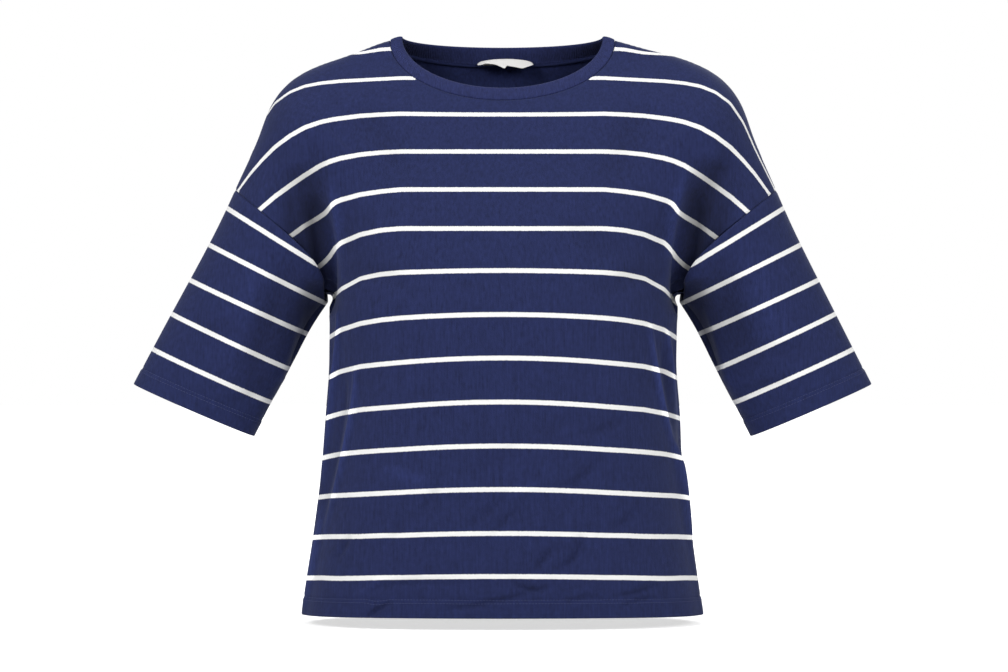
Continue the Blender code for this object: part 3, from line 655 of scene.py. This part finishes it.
# Creases: bent lines as seen from the front, in millimetres from the middle and below the neck's
# height: a start, a middle and an end, then the half width of the ridge (height above zero) or
# trough (below zero). On the back and the sleeves' backs they are as seen through the cloth.
# First come the turns from body to arm, then upright ridges, slanting wrinkles and soft pulls.
CREASE_COLUMNS = ("x0", "h0", "x1", "h1", "x2", "h2", "width", "height")
CREASES = {
    "front": """
-209 118 -197 192 -183 272 20 -11
-193 150 -183 200 -175 270 7 -6.5
-184 118 -168 182 -164 254 6.5 3.4
-214 132 -203 176 -190 226 6.8 3.2
-196 96 -186 120 -178 150 9 -2.2
212 114 198 190 183 272 21 -12
195 146 184 200 175 270 7 -7
185 116 168 182 164 254 6.5 3.6
219 128 207 172 192 224 6.8 3.6
228 100 214 128 206 160 6.8 -2.4
-148 322 -153 382 -180 494 2.4 3.4
-178 452 -186 505 -198 566 2.4 3.2
-158 330 -162 386 -184 488 3 -2.4
-167 262 -166 330 -180 446 1.9 3.4
147 276 156 342 173 410 2.4 4.2
170 398 180 440 188 500 2.8 3.8
158 296 166 352 178 420 3.4 -3.2
163 280 168 330 176 402 2.2 3.5
-37 484 -14 466 8 449 3.7 -2.2
-14 492 4 474 18 463 3 -2.2
30 530 44 512 64 498 3.7 -3.2
50 526 72 512 78 488 3 -3.2
54 442 78 434 94 410 3.7 -2.5
4 533 26 544 50 541 2.7 -2.3
-34 560 -6 556 38 546 3 -2.2
-130 548 -106 538 -42 540 3 -2.2
-138 574 -126 566 -110 556 2.7 -3.2
112 552 138 546 156 538 3 -2.5
108 486 122 476 136 458 3.7 -2.2
-170 516 -160 504 -152 486 3 -2.2
-84 470 -70 452 -62 428 4.3 -2
76 390 100 384 122 372 4.3 -2
-120 420 -98 432 -72 436 6.8 1.6
16 538 30 546 46 545 2.2 -0.9
60 560 84 552 100 556 3.2 -1.6
-12 470 16 446 44 438 3.4 1
38 524 56 502 70 494 3.2 1.4
-150 560 -128 540 -96 536 3.4 1.2
-60 566 -28 562 8 566 3 -1.4
116 566 134 556 150 556 3 -1.6
-118 500 -104 482 -96 462 3.6 -1.3
-30 424 -2 410 18 392 5 -1
30 392 54 380 88 378 5 -0.9
-96 342 -70 350 -40 344 6 -0.9
-62 96 -40 118 -30 150 8 -0.8
-150 60 -120 92 -96 134 16 -1.9
146 58 122 96 102 146 16 -2
-160 232 -130 226 -92 244 10 -1.9
158 236 128 232 90 256 10 -2
60 180 84 190 108 214 12 -1.4
""",
    "back": """
-206 116 -192 178 -181 262 15 -8
-195 128 -183 182 -176 262 7 -5
-190 122 -172 186 -168 254 8 2
208 112 193 176 182 262 15 -8.5
196 126 183 180 176 262 7 -5
192 118 174 184 168 254 8 2.1
-216 134 -205 176 -192 224 6.8 3.2
218 130 206 174 192 226 6.8 3
-152 300 -156 380 -182 470 4.2 3.2
-166 330 -172 400 -188 480 4.2 -2.6
150 290 160 390 184 500 4.2 3.2
164 310 172 390 186 470 4.2 -2.4
-150 76 -112 104 -70 118 16 -2.4
148 80 116 110 82 122 15 -2.2
-156 236 -116 226 -62 250 11 -2.2
154 240 120 232 72 246 12 -2
-40 120 -22 190 -30 262 18 -2
34 150 52 230 40 320 18 -1.9
-118 500 -86 474 -58 468 3.7 -3
-70 552 -38 530 4 536 3 -3.2
22 500 60 480 82 452 3.7 -3
62 556 96 542 134 548 3 -3
96 420 120 402 132 370 6.8 -2
-128 400 -100 392 -80 366 6.8 -2
""",
    "right sleeve, front": """
184 236 194 268 216 336 17 -8.5
210 214 228 268 250 332 14 -4.4
244 200 262 262 288 330 17 0.9
196 262 212 300 232 350 6 3
252 300 276 306 306 296 9 -1.7
246 352 262 340 288 338 6 -1.8
""",
    "right sleeve, back": """
191 244 203 268 217 304 9 -4
214 212 232 270 256 340 14 -3.7
198 256 216 304 238 358 6.8 3
250 262 272 270 300 258 10 -2
262 332 284 326 312 312 6.8 -2
""",
    "left sleeve, front": """
184 236 193 268 214 334 16 -7.5
212 210 232 276 258 354 15 -3.7
242 206 256 260 278 336 16 0.9
194 262 208 298 226 344 6 2.6
262 280 288 284 312 270 9 -1.7
236 330 252 352 278 356 6.8 -1.8
""",
    "left sleeve, back": """
190 244 202 268 216 302 9 -4
216 216 236 268 252 330 14 -3.9
198 260 214 300 234 352 6.8 2.8
244 300 268 302 292 286 10 -2
""",
}


# ---- sheets of cloth
def rows_of(text):
    """A table's rows of millimetres, in metres."""
    return [[float(word) / 1000 for word in line.split()] for line in text.strip().splitlines()]


def upsampled(grid, rows, columns):
    """A grid of points read again at more rows and columns."""
    old_rows, old_columns = (np.linspace(0, 1, count) for count in grid.shape[:2])
    new_rows, new_columns = np.linspace(0, 1, rows), np.linspace(0, 1, columns)
    tall = np.stack([read_at(new_rows, old_rows, grid[:, c]) for c in range(grid.shape[1])], axis=1)
    return np.stack([read_at(new_columns, old_columns, row) for row in tall])


def scaled_lines(front, rows, columns):
    """The panel's top, bottom and right side at a level of detail."""
    neck = neck_seam(front, CLEARANCE, NECK_STEPS * columns)[0]
    armhole = armhole_seam(front, -CLEARANCE, ARMHOLE_STEPS * rows)[0]
    top = both_sides(np.concatenate([neck, shoulder_seam(SHOULDER_STEPS * columns)[1:]]))
    side = np.concatenate([armhole, side_seam(SIDE_STEPS * rows)[1:]])
    places = spacing(len(top) - 1, SIDE_CROWDING)
    return top, respaced(both_sides(body_hem(front, 400)), places), side, places


def fine_panel(front):
    """The points of the front or the back, from the shoulders to the hem."""
    grid = None
    for rows, columns, rounds in LEVELS_OF_DETAIL:
        top, bottom, side, places = scaled_lines(front, rows, columns)
        other, down, over = mirror(side), lengths(side) / lengths(side)[-1], (places + 1) / 2
        if grid is None:
            grid = filled_patch(top, bottom, other, side, down, over)
        else:
            grid = upsampled(grid, len(side), len(top))
            grid = grid + filled_patch(top - grid[0], bottom - grid[-1], other - grid[:, 0],
                                       side - grid[:, -1], down, over)
        grid[0], grid[-1], grid[:, 0], grid[:, -1] = top, bottom, other, side
        grid[1:-1, 1:-1] = settle(grid[1:-1, 1:-1], front)
        grid = relaxed(grid, front, down, over, rounds)
    return grid


def bordered(grid, out, sewn):
    """A sheet's points with its sewn edges turned in and its hem turned up.

    A sleeve is sewn at its top only, a panel at its sides too."""
    grid = grid.copy()
    at_sides = "sides" in sewn
    if at_sides:
        grid[:, [0, -1]] -= out[:, [0, -1]] * EDGE_DIP
    grid[0] -= out[0] * EDGE_DIP
    rows = [grid[3] - out[3] * FLANGE * 0.6, grid[0] - out[0] * FLANGE * 0.5, *grid[:-1]]
    up = unit(grid[-2] - grid[-1])
    rows += [grid[-1] - out[-1] * inwards + up * upwards for inwards, upwards in HEM_TURN]
    rows += [grid[-1 - step] - out[-1 - step] * HEM_LAYER for step in range(1, HEM_ROWS + 1)]
    rows.append(grid[-1 - HEM_ROWS] - out[-1 - HEM_ROWS] * (HEM_LAYER / 3) + up * 0.0015)
    rows = np.stack(rows)
    if at_sides:
        after = len(rows) - SEWN_ROWS - len(out) + 1
        normal = np.concatenate([out[:1]] * SEWN_ROWS + [out[:-1]] + [out[-1:]] * after)
        turned = rows[:, [0, -1]] - normal[:, [0, -1]] * FLANGE
        rows = np.concatenate([turned[:, :1], rows, turned[:, 1:]], axis=1)
    return rows


def crease_heights(points, name):
    """How far the named sheet's creases lift or sink the cloth."""
    nearer = CAMERA_DISTANCE / (CAMERA_DISTANCE - np.abs(points[..., 1]))
    across = (points[..., 0] * nearer).ravel()
    below = -(CAMERA_Z + (points[..., 2] - CAMERA_Z) * nearer).ravel()
    spots = np.stack([across, below], axis=1)
    total = np.zeros(len(spots))
    share = np.linspace(0, 1, 15)[:, None]
    for row in rows_of(CREASES[name]):
        crease = dict(zip(CREASE_COLUMNS, row))
        ends = [np.array([crease["x" + n], crease["h" + n]]) for n in "012"]
        bend = 2 * ends[1] - (ends[0] + ends[2]) / 2
        path = (1 - share) ** 2 * ends[0] + 2 * share * (1 - share) * bend + share ** 2 * ends[2]
        reach = 3 * crease["width"]
        near = np.all((spots > path.min(0) - reach) & (spots < path.max(0) + reach), axis=1)
        spot = spots[near]
        start, step = path[:-1], np.diff(path, axis=0)
        along = np.clip(((spot[:, None] - start) * step).sum(-1) / (step ** 2).sum(-1), 0, 1)
        away = np.linalg.norm(spot[:, None] - start - along[..., None] * step, axis=-1)
        nearest = away.argmin(1)
        pick = np.arange(len(spot))
        place = (nearest + along[pick, nearest]) / len(step)
        fade = np.sin(np.pi * np.clip(place, 0.0, 1.0)) ** 0.7
        total[near] += crease["height"] * fade * np.exp(-(away[pick, nearest] / crease["width"]) ** 2)
    return total.reshape(points.shape[:-1])


def hem_height(grid):
    """The hem's second layer, drawn in along its stitches."""
    steps = np.linalg.norm(np.diff(grid, axis=0), axis=-1)
    above = np.concatenate([np.cumsum(steps[::-1], axis=0)[::-1], np.zeros((1, grid.shape[1]))])
    doubled = 0.0005 * (1 - soft_step((above - HEM_DEPTH + 0.002) / 0.003))
    return doubled - 0.0006 * np.exp(-((above - HEM_DEPTH) / 0.0016) ** 2)


def finer_end(grid, rows=9, times=3):
    """The same grid with more rows over its last ones."""
    last = len(grid) - 1
    places = np.concatenate([np.arange(last - rows), np.linspace(last - rows, last, rows * times + 1)])
    whole = np.clip(places.astype(int), 0, last - 1)
    part = (places - whole)[:, None, None]
    return grid[whole] * (1 - part) + grid[whole + 1] * part


# ---- stripes
def seen(points):
    """Where points show in the garment's middle plane: distance, height."""
    nearer = CAMERA_DISTANCE / (CAMERA_DISTANCE - np.abs(points[..., 1]))
    x = CAMERA_X + (points[..., 0] - CAMERA_X) * nearer
    z = CAMERA_Z + (points[..., 2] - CAMERA_Z) * nearer
    return np.abs(x), z


def stripe_number(at, place):
    """Which two rising stripes each place lies between, as one number."""
    number = np.clip((at < place).sum(0) - 1, 0, len(at) - 2)
    low = np.take_along_axis(at, number[None], 0)[0]
    high = np.take_along_axis(at, number[None] + 1, 0)[0]
    return number + (place - low) / (high - low)


def body_stripes(points, front):
    """The body's stripe numbers, whole in the middle of a stripe."""
    x, z = seen(points)
    if not front:
        z = z + BACK_STRIPE_DROP * np.exp(-(x / 0.15) ** 2 - ((z + 0.03) / 0.10) ** 2)
    distances = np.array(STRIPE_DISTANCES) / 1000
    fine = np.linspace(0, distances[-1], 276)
    # the middle stretch is a smooth arch
    bent = np.where(fine < distances[1], fine ** 2 / distances[1], fine)
    kernel = np.exp(-(np.arange(-9, 10) / 2.2) ** 2)
    kernel /= kernel.sum()
    heights = []
    for row in rows_of(STRIPES):
        line = np.interp(bent, distances, row)
        padded = np.concatenate([line[9:0:-1], line, 2 * line[-1] - line[-2:-11:-1]])
        heights.append(np.convolve(padded, kernel, "valid"))
    heights = np.array(heights)
    place = np.clip(x / (fine[1] - fine[0]), 0, len(fine) - 1.001)
    whole = place.astype(int)
    at = heights[:, whole] * (1 - (place - whole)) + heights[:, whole + 1] * (place - whole)
    number = stripe_number(at, -z) - OVER_SHOULDER
    behind_neck = (not front) & (x < 0.17) & (z > -0.035)
    return np.where(behind_neck, np.maximum(number, 0.2), number)


def sleeve_stripes(points):
    """The right sleeve's stripe numbers, rising from the cuff."""
    x, z = points[..., 0], points[..., 2]
    share = np.clip(edge_distance(x, z)[0] / (2 * SLEEVE_HALF_WIDTH), 0, 1)
    across, down = CUFF_WAY, sleeve_direction()[[0, 2]]
    # the place is CUFF plus some of the way across, less the distance above the cuff down the sleeve
    above = (((x - CUFF[0]) * across[1] - (z - CUFF[1]) * across[0])
             / (down[1] * across[0] - down[0] * across[1]))
    outer, inner = (column(SLEEVE_STRIPES, SLEEVE_STRIPE_COLUMNS, name)[:, None, None] / 1000
                    for name in SLEEVE_STRIPE_COLUMNS)
    return stripe_number(outer + share * (inner - outer), above)


def shade(lifted, shape):
    """How much painted shade (above zero) the folds' troughs get and how much painted highlight (below
    zero) their ridges get, for such a grid.
    """
    dark, light = 0.68 * np.tanh(-lifted / FOLD_SHADE_DEPTH), -0.95 * lifted / RIDGE_SHADE_HEIGHT
    value = np.maximum(np.where(lifted < 0, dark, light), -0.95)
    after = shape[0] - value.shape[0] - SEWN_ROWS
    side = (shape[1] - value.shape[1]) // 2
    return np.pad(value, ((SEWN_ROWS, after), (side, side)), mode="edge")


def pitch(points, number, closed=False):
    """The distance along the cloth from one stripe number to the next."""
    def slope(values, axis):
        if axis == 1 and closed:
            return (np.roll(values, -1, axis=1) - np.roll(values, 1, axis=1)) / 2
        return np.gradient(values, axis=axis)

    rows, columns = slope(points, 0), slope(points, 1)
    by_row, by_column = slope(number, 0), slope(number, 1)
    rr, cc, rc = (rows ** 2).sum(-1), (columns ** 2).sum(-1), (rows * columns).sum(-1)
    steep = by_row ** 2 * cc - 2 * by_row * by_column * rc + by_column ** 2 * rr
    steep = steep / (rr * cc - rc ** 2 + 1e-18)
    return np.clip(np.clip(steep, 1e-6, None) ** -0.5, 0.015, 0.070)


# ---- meshes
def linked(name, data):
    """A new object in the scene."""
    thing = bpy.data.objects.new(name, data)
    bpy.context.scene.collection.objects.link(thing)
    return thing


def add_mesh(name, points, faces, material, values=None):
    """A smooth object of that mesh, with named values at its points."""
    mesh = bpy.data.meshes.new(name)
    mesh.from_pydata(points.reshape(-1, 3).tolist(), [], faces)
    mesh.validate()
    mesh.shade_smooth()
    mesh.materials.append(material)
    for key, numbers in (values or {}).items():
        attribute = mesh.attributes.new(key, "FLOAT", "POINT")
        attribute.data.foreach_set("value", np.ascontiguousarray(numbers, np.float32).ravel())
    piece = linked(name, mesh)
    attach(piece, "root")
    return piece


def grid_faces(rows, columns, closed=False, flip=False):
    """The cells between the points of a grid, as faces."""
    number = np.arange(rows * columns).reshape(rows, columns)
    if closed:
        number = closed_line(number.T).T
    cells = np.stack([number[:-1, :-1], number[1:, :-1], number[1:, 1:], number[:-1, 1:]], axis=-1)
    cells = cells.reshape(-1, 4)
    return (cells[:, ::-1] if flip else cells).tolist()


def make_panel(name, front, material):
    """The front or the back, with sewn edges and a turned hem."""
    grid = finer_end(fine_panel(front))
    out = normals(grid, front)
    out[:, [0, -1]] = out[:, [1, -2]]
    out[0] = out[1]
    creased = crease_heights(grid, "front" if front else "back")
    surface = grid + out * (folds(grid, front) + creased + hem_height(grid))[..., None]
    points = leaning(bordered(surface, out, ("top", "sides")))
    points[..., 1] = np.clip(points[..., 1], *((None, -CLEARANCE) if front else (CLEARANCE, None)))
    # the turned-in side edges of front and back all but meet, so no light shows between them
    points[:, [0, -1], 1] = -SIDE_EDGE_GAP if front else SIDE_EDGE_GAP
    number = body_stripes(points, front)
    # the 'shade' values hold painted shade for the creases' troughs and a painted highlight for their
    # ridges
    values = {"stripe": number, "pitch": pitch(points, number), "shade": shade(creased, number.shape)}
    faces = grid_faces(*points.shape[:2], flip=not front)
    return add_mesh(name, points, faces, material, values), surface, out


def fine_sleeve():
    """The right sleeve's points from the armhole down, and their normals."""
    eased = UNDERARM_EASE * underarm_turn(SLEEVE_HALF_STEPS) * sleeve_direction()
    top = around(*(armhole_seam(front, CLEARANCE, SLEEVE_HALF_STEPS)[0] + eased
                   for front in (True, False)))
    bottom = around(*(cuff_edge(front, SLEEVE_HALF_STEPS) for front in (True, False)))
    is_front = np.arange(len(top)) <= SLEEVE_HALF_STEPS
    down = np.linspace(0, 1, SLEEVE_ROWS)[:, None, None]
    grid = (1 - down) * top[None] + down * bottom[None]
    for _ in range(SLEEVE_ROUNDS):
        across = (np.roll(grid, 1, axis=1) + np.roll(grid, -1, axis=1))[1:-1] / 2
        along = (grid[:-2] + grid[2:]) / 2
        grid[1:-1] = 0.4 * grid[1:-1] + 0.3 * across + 0.3 * along
        for front, chosen in ((True, is_front), (False, ~is_front)):
            grid[1:-1, chosen] = settle(grid[1:-1, chosen], front, 1)
        grid[1:-1, (0, SLEEVE_HALF_STEPS), 1] = 0
    out = np.where(is_front[None, :, None], normals(grid, True), normals(grid, False))
    out[:2] = out[2]
    return grid, out


def make_sleeve(name, side, sleeve, material):
    """One sleeve as a tube, sewn at the armhole, with a turned hem."""
    grid, out = (finer_end(part, 8) for part in sleeve)
    hand = "right" if side > 0 else "left"
    heights = [crease_heights(grid, f"{hand} sleeve, {face}") for face in ("front", "back")]
    creased = np.where(grid[..., 1] <= 0, *heights)
    surface = grid + out * (creased + hem_height(grid))[..., None]
    points = bordered(surface, out, ("top",))
    number = np.clip(sleeve_stripes(points), 0.12, None)
    # the 'shade' values hold painted shade for the creases' troughs and a painted highlight for their
    # ridges
    values = {"stripe": number, "pitch": pitch(points, number, closed=True),
              "shade": shade(creased, number.shape)}
    if side < 0:
        points, surface, out = mirror(points), mirror(surface), mirror(out)
    faces = grid_faces(*points.shape[:2], closed=True, flip=side > 0)
    return add_mesh(name, leaning(points), faces, material, values), surface, out


def stitches(surface, out, above, closed=False):
    """A row of stitches that far above a sheet's edge: small bent rods."""
    climbed = np.cumsum(np.linalg.norm(np.diff(surface, axis=0), axis=-1)[::-1], axis=0)
    line, facing = [], []
    for c in range(surface.shape[1]):
        place = float(np.interp(above, climbed[:, c], np.arange(1, len(climbed) + 1)))
        low = len(surface) - 1 - int(place)
        part = place - int(place)
        line.append(surface[low, c] * (1 - part) + surface[low - 1, c] * part)
        facing.append(out[low, c])
    line, facing = np.array(line), np.array(facing)
    if closed:
        line, facing = closed_line(line), closed_line(facing)
    run = lengths(line)
    along, rise, thick = (np.array(values)[:, None, None] for values in zip(*STITCH_SECTION))
    turn = np.linspace(0, 2 * math.pi, STITCH_SIDES, endpoint=False)[None, :, None]
    rods = []
    for start in np.arange(0.002, run[-1] - 0.004, STITCH_PITCH):
        places = start + along[:, 0, 0] * (STITCH_PITCH * STITCH_SHARE)
        centre, up = read_at(places, run, line), unit(read_at(places, run, facing))
        side = np.cross(unit(np.gradient(centre, axis=0)), up)[:, None]
        up = up[:, None]
        round_it = THREAD_RADIUS * thick * (np.cos(turn) * side + np.sin(turn) * up)
        rods.append(centre[:, None] + up * rise + round_it)
    return rods


def make_stitches(name, rods, material):
    """One piece's hem stitches as one mesh."""
    rings = len(STITCH_SECTION)
    count = rings * STITCH_SIDES
    tube = np.array(grid_faces(rings, STITCH_SIDES, closed=True))
    faces = []
    for start in range(0, len(rods) * count, count):
        faces += (tube + start).tolist()
        faces += [[start + i for i in range(STITCH_SIDES)],
                  [start + count - 1 - i for i in range(STITCH_SIDES)]]
    return add_mesh(name, leaning(np.array(rods).reshape(-1, 3)), faces, material)


# ---- neckband and label
def make_neckband(material):
    """The ribbed ring: up its outside, over its fold and down its inside."""
    halves = [neck_seam(front, -CLEARANCE, BAND_STEPS) for front in (True, False)]
    seam, seam_out = (closed_line(all_round(*pair)) for pair in zip(*halves))
    share = lengths(seam) / lengths(seam)[-1]
    count = RIBS * RIB_SAMPLES
    places = np.linspace(0, 1, count, endpoint=False)
    turn = np.interp(places, share, np.linspace(0, 1, len(seam)))
    seam, seam_out = read_at(places, share, seam), unit(read_at(places, share, seam_out))
    edge = closed_line(band_edge(256))
    rise = read_at(turn, np.linspace(0, 1, len(edge)), edge) - seam
    out = unit(np.cross(rise, np.roll(seam, -1, axis=0) - np.roll(seam, 1, axis=0)))
    out *= np.sign((out * seam_out).sum(1))[:, None]
    rib = 0.5 - 0.5 * np.cos(2 * np.pi * np.arange(count) / RIB_SAMPLES)
    rows = []
    for way, inwards, shown in BAND_SECTION:
        facing = unit(out * way + seam_out * (1 - way))
        side = 1 if inwards < BAND_FOLD else -1
        outwards = side * RIB_RISE * shown * rib - inwards
        rows.append(seam + rise * way + facing * outwards[:, None])
    values = {"rib": np.tile(rib, (len(rows), 1))}
    faces = grid_faces(len(rows), count, closed=True)
    return add_mesh("neckband_rib", np.stack(rows), faces, material, values)


def make_label(material):
    """The blank label: sewn at its ends, its middle rolls up and forwards."""
    over, reach = np.meshgrid(np.linspace(-1, 1, 61), np.linspace(0, 1, 21))
    seam, out = neck_seam(False)
    sewn = seam - out * (BAND_WALL + SEAM_GAP + LABEL_WALL)
    x = LABEL_OFFSET + over * LABEL_WIDTH / 2
    y, z = (np.interp(np.abs(x), sewn[:, 0], sewn[:, axis]) for axis in (1, 2))
    lens = np.sqrt(np.clip(1 - over ** 2, 0, 1))
    crest = LABEL_RISE * lens * np.sin(np.clip(reach * 1.35, 0, 1) * np.pi / 2)
    past_crest = np.clip(reach - 0.45, 0, 1) / 0.55
    wave = np.interp(over, *LABEL_WAVE) * past_crest
    fall = LABEL_TURN * past_crest * lens + 0.0016
    y = y - LABEL_REACH * reach * (0.25 + 0.75 * lens)
    points = np.stack([x, y, z + crest - fall + wave * lens], axis=-1)
    return add_mesh("label_tape", points, grid_faces(*points.shape[:2]), material)


# ---- materials


def new_material(name):
    """A material and its node tree."""
    material = bpy.data.materials.new(name)
    material.use_nodes = True
    return material, material.node_tree


def fill_in(tree, node, inputs):
    """Give a node its inputs: values or other nodes' outputs."""
    for name, value in inputs.items():
        if isinstance(value, bpy.types.NodeSocket):
            tree.links.new(value, node.inputs[name])
        else:
            node.inputs[name].default_value = value
    return node


def add_node(tree, kind, inputs, **settings):
    node = tree.nodes.new("ShaderNode" + kind)
    for name, value in settings.items():
        setattr(node, name, value)
    return fill_in(tree, node, inputs)


def attribute(tree, name):
    return add_node(tree, "Attribute", {}, attribute_name=name).outputs["Fac"]


def math_node(tree, operation, *inputs):
    return add_node(tree, "Math", dict(enumerate(inputs)), operation=operation).outputs[0]


def mixed(tree, factor, first, second, way="MIX"):
    """Two colours mixed by a factor."""
    inputs = {"Factor": factor, "A": first, "B": second}
    return add_node(tree, "Mix", inputs, data_type="RGBA", blend_type=way).outputs["Result"]


def noise(tree, scale, height, detail):
    """Smooth noise over the own coordinates, stretched upwards."""
    place = add_node(tree, "TexCoord", {}).outputs["Object"]
    place = add_node(tree, "Mapping", {"Vector": place, "Scale": (1, 1, height)}).outputs[0]
    inputs = {"Vector": place, "Scale": scale, "Detail": detail}
    return add_node(tree, "TexNoise", inputs).outputs["Fac"]


def knit(name, base, striped):
    """Fine jersey: uneven navy loops with narrow off-white stripes."""
    material, tree = new_material(name)
    wales, mottle = noise(tree, 620, 0.07, 1), noise(tree, 300, 0.60, 4)
    loops = noise(tree, 1500, 0.45, 1)
    mottle = math_node(tree, "ADD", math_node(tree, "MULTIPLY", mottle, 0.5),
                       math_node(tree, "MULTIPLY", wales, 0.5))
    color = mixed(tree, mottle, *((*[c * strength for c in base], 1) for strength in YARN_CONTRAST))
    if striped:
        away = math_node(tree, "PINGPONG", attribute(tree, "stripe"), 0.5)
        away = math_node(tree, "MULTIPLY", away, attribute(tree, "pitch"))
        away = math_node(tree, "ADD", away, math_node(tree, "MULTIPLY_ADD", loops, 0.0011, -0.00055))
        limits = {"Value": away, "To Min": 1, "To Max": 0,
                  "From Min": STRIPE_HALF_WIDTH - STRIPE_BLUR,
                  "From Max": STRIPE_HALF_WIDTH + STRIPE_BLUR}
        edge = add_node(tree, "MapRange", limits, interpolation_type="SMOOTHSTEP")
        color = mixed(tree, edge.outputs[0], color, STRIPE_WHITE)
        # painted shade darkens the creases' troughs and a painted highlight lightens their ridges,
        # from the 'shade' values
        dark = math_node(tree, "MULTIPLY_ADD", attribute(tree, "shade"), -1.0, 1.0)
        color = add_node(tree, "VectorMath", {0: color, "Scale": dark}, operation="SCALE").outputs[0]
    # painted light: seen from behind, the cloth's inside is painted 1.25 times lighter
    inside = add_node(tree, "NewGeometry", {}).outputs["Backfacing"]
    color = mixed(tree, inside, color, (1.25, 1.25, 1.25, 1), "MULTIPLY")
    bump = add_node(tree, "Bump", {"Strength": 0.35, "Distance": 0.0006, "Height": loops})
    fill_in(tree, tree.nodes["Principled BSDF"], {
        "Roughness": 0.88, "Specular IOR Level": 0.18, "Sheen Weight": 0.08, "Sheen Roughness": 0.5,
        "Sheen Tint": (0.65, 0.72, 1.0, 1), "Base Color": color, "Normal": bump.outputs[0]})
    return material


def plain(name, color, roughness):
    material, tree = new_material(name)
    fill_in(tree, tree.nodes["Principled BSDF"], {"Base Color": (*color, 1), "Roughness": roughness})
    return material


# ---- stage, light and camera
def backdrop_paper():
    """Pale paper that shows white and keeps its shadows."""
    material, tree = new_material("backdrop_paper")
    place = add_node(tree, "TexCoord", {}).outputs["Object"]
    far = add_node(tree, "VectorMath", {0: place}, operation="LENGTH").outputs["Value"]
    glow = add_node(tree, "MapRange", {"Value": far, "From Min": 0.7, "From Max": 2.2,
                                       "To Min": BACKDROP_GLOW, "To Max": 1.2})
    to_camera = add_node(tree, "LightPath", {}).outputs["Is Camera Ray"]
    fill_in(tree, tree.nodes["Principled BSDF"], {
        "Base Color": (0.86, 0.86, 0.86, 1), "Roughness": 0.95, "Specular IOR Level": 0.0,
        "Emission Color": (1, 1, 1, 1),
        "Emission Strength": math_node(tree, "MULTIPLY", to_camera, glow.outputs[0])})
    return material


def make_stage():
    """A wide pale floor that runs out into the white of the studio."""
    turn = np.linspace(0, 2 * math.pi, 64, endpoint=False)
    mesh = bpy.data.meshes.new("floor")
    rim = [(FLOOR_RADIUS * math.cos(a), FLOOR_RADIUS * math.sin(a), FLOOR_HEIGHT) for a in turn]
    mesh.from_pydata(rim, [], [list(range(len(rim)))])
    mesh.materials.append(backdrop_paper())
    linked("floor", mesh)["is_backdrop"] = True


def aimed(thing, place, target):
    """Put a light or camera at a place, looking at a target."""
    thing.location = place
    thing.rotation_mode = "QUATERNION"
    thing.rotation_quaternion = (Vector(target) - Vector(place)).to_track_quat("-Z", "Y")


def make_lights():
    world = bpy.data.worlds.new("studio")
    bpy.context.scene.world = world
    world.use_nodes = True
    tree = world.node_tree
    # the studio shows white and lights the cloth more softly
    to_camera = add_node(tree, "LightPath", {}).outputs["Is Camera Ray"]
    strength = math_node(tree, "MULTIPLY_ADD", to_camera, 1 - WORLD_LIGHT, WORLD_LIGHT)
    fill_in(tree, tree.nodes["Background"], {"Color": (1, 1, 1, 1), "Strength": strength})
    for name, place, height, size, power in LIGHTS:
        light = bpy.data.lights.new(name, "AREA")
        light.shape, light.size, light.energy = "SQUARE", size, power
        aimed(linked(name, light), place, (0, 0, height))
    bpy.context.scene.view_settings.view_transform = "Standard"


def make_camera():
    data = bpy.data.cameras.new("camera")
    data.sensor_width = 36
    data.lens = 36 * CAMERA_DISTANCE / PHOTO_WIDTH
    camera = linked("camera", data)
    aimed(camera, (CAMERA_X, -CAMERA_DISTANCE, CAMERA_Z), (CAMERA_X, 0, CAMERA_Z))
    bpy.context.scene.camera = camera


# ---- everything together
def corners():
    low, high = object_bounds()
    return [list(low), list(high)]


def main():
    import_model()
    jersey, rib = knit("jersey", NAVY, True), knit("rib_knit", NAVY_RIB, False)
    woven = plain("woven_tape", (0.62, 0.61, 0.60), 0.7)
    thread = plain("navy_thread", (0.028, 0.038, 0.118), 0.7)
    front, *front_sheet = make_panel("front_cloth", True, jersey)
    back, *back_sheet = make_panel("back_cloth", False, jersey)
    sleeve = fine_sleeve()
    right, *right_sheet = make_sleeve("sleeve_right_cloth", 1, sleeve, jersey)
    left, *left_sheet = make_sleeve("sleeve_left_cloth", -1, sleeve, jersey)
    band = make_neckband(rib)
    label = make_label(woven)
    for piece, sheet, cut in ((front, front_sheet, FRONT_CUT), (back, back_sheet, BACK_CUT),
                              (right, right_sheet, SLEEVE_CUT), (left, left_sheet, SLEEVE_CUT)):
        closed = piece in (right, left)
        rods = [rod for above in STITCH_ROWS for rod in stitches(*sheet, above, closed)]
        sewing = make_stitches(piece.name.replace("cloth", "stitches"), rods, thread)
    for piece, node, slot in ((front, "front", "navy_knit"), (back, "back", "navy_knit"),
                              (right, "sleeve_right", "navy_knit"), (left, "sleeve_left", "navy_knit"),
                              (band, "neckband", "navy_rib"), (label, "label", "label_weave")):
        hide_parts(node)
    make_stage()
    make_lights()
    make_camera()


main()
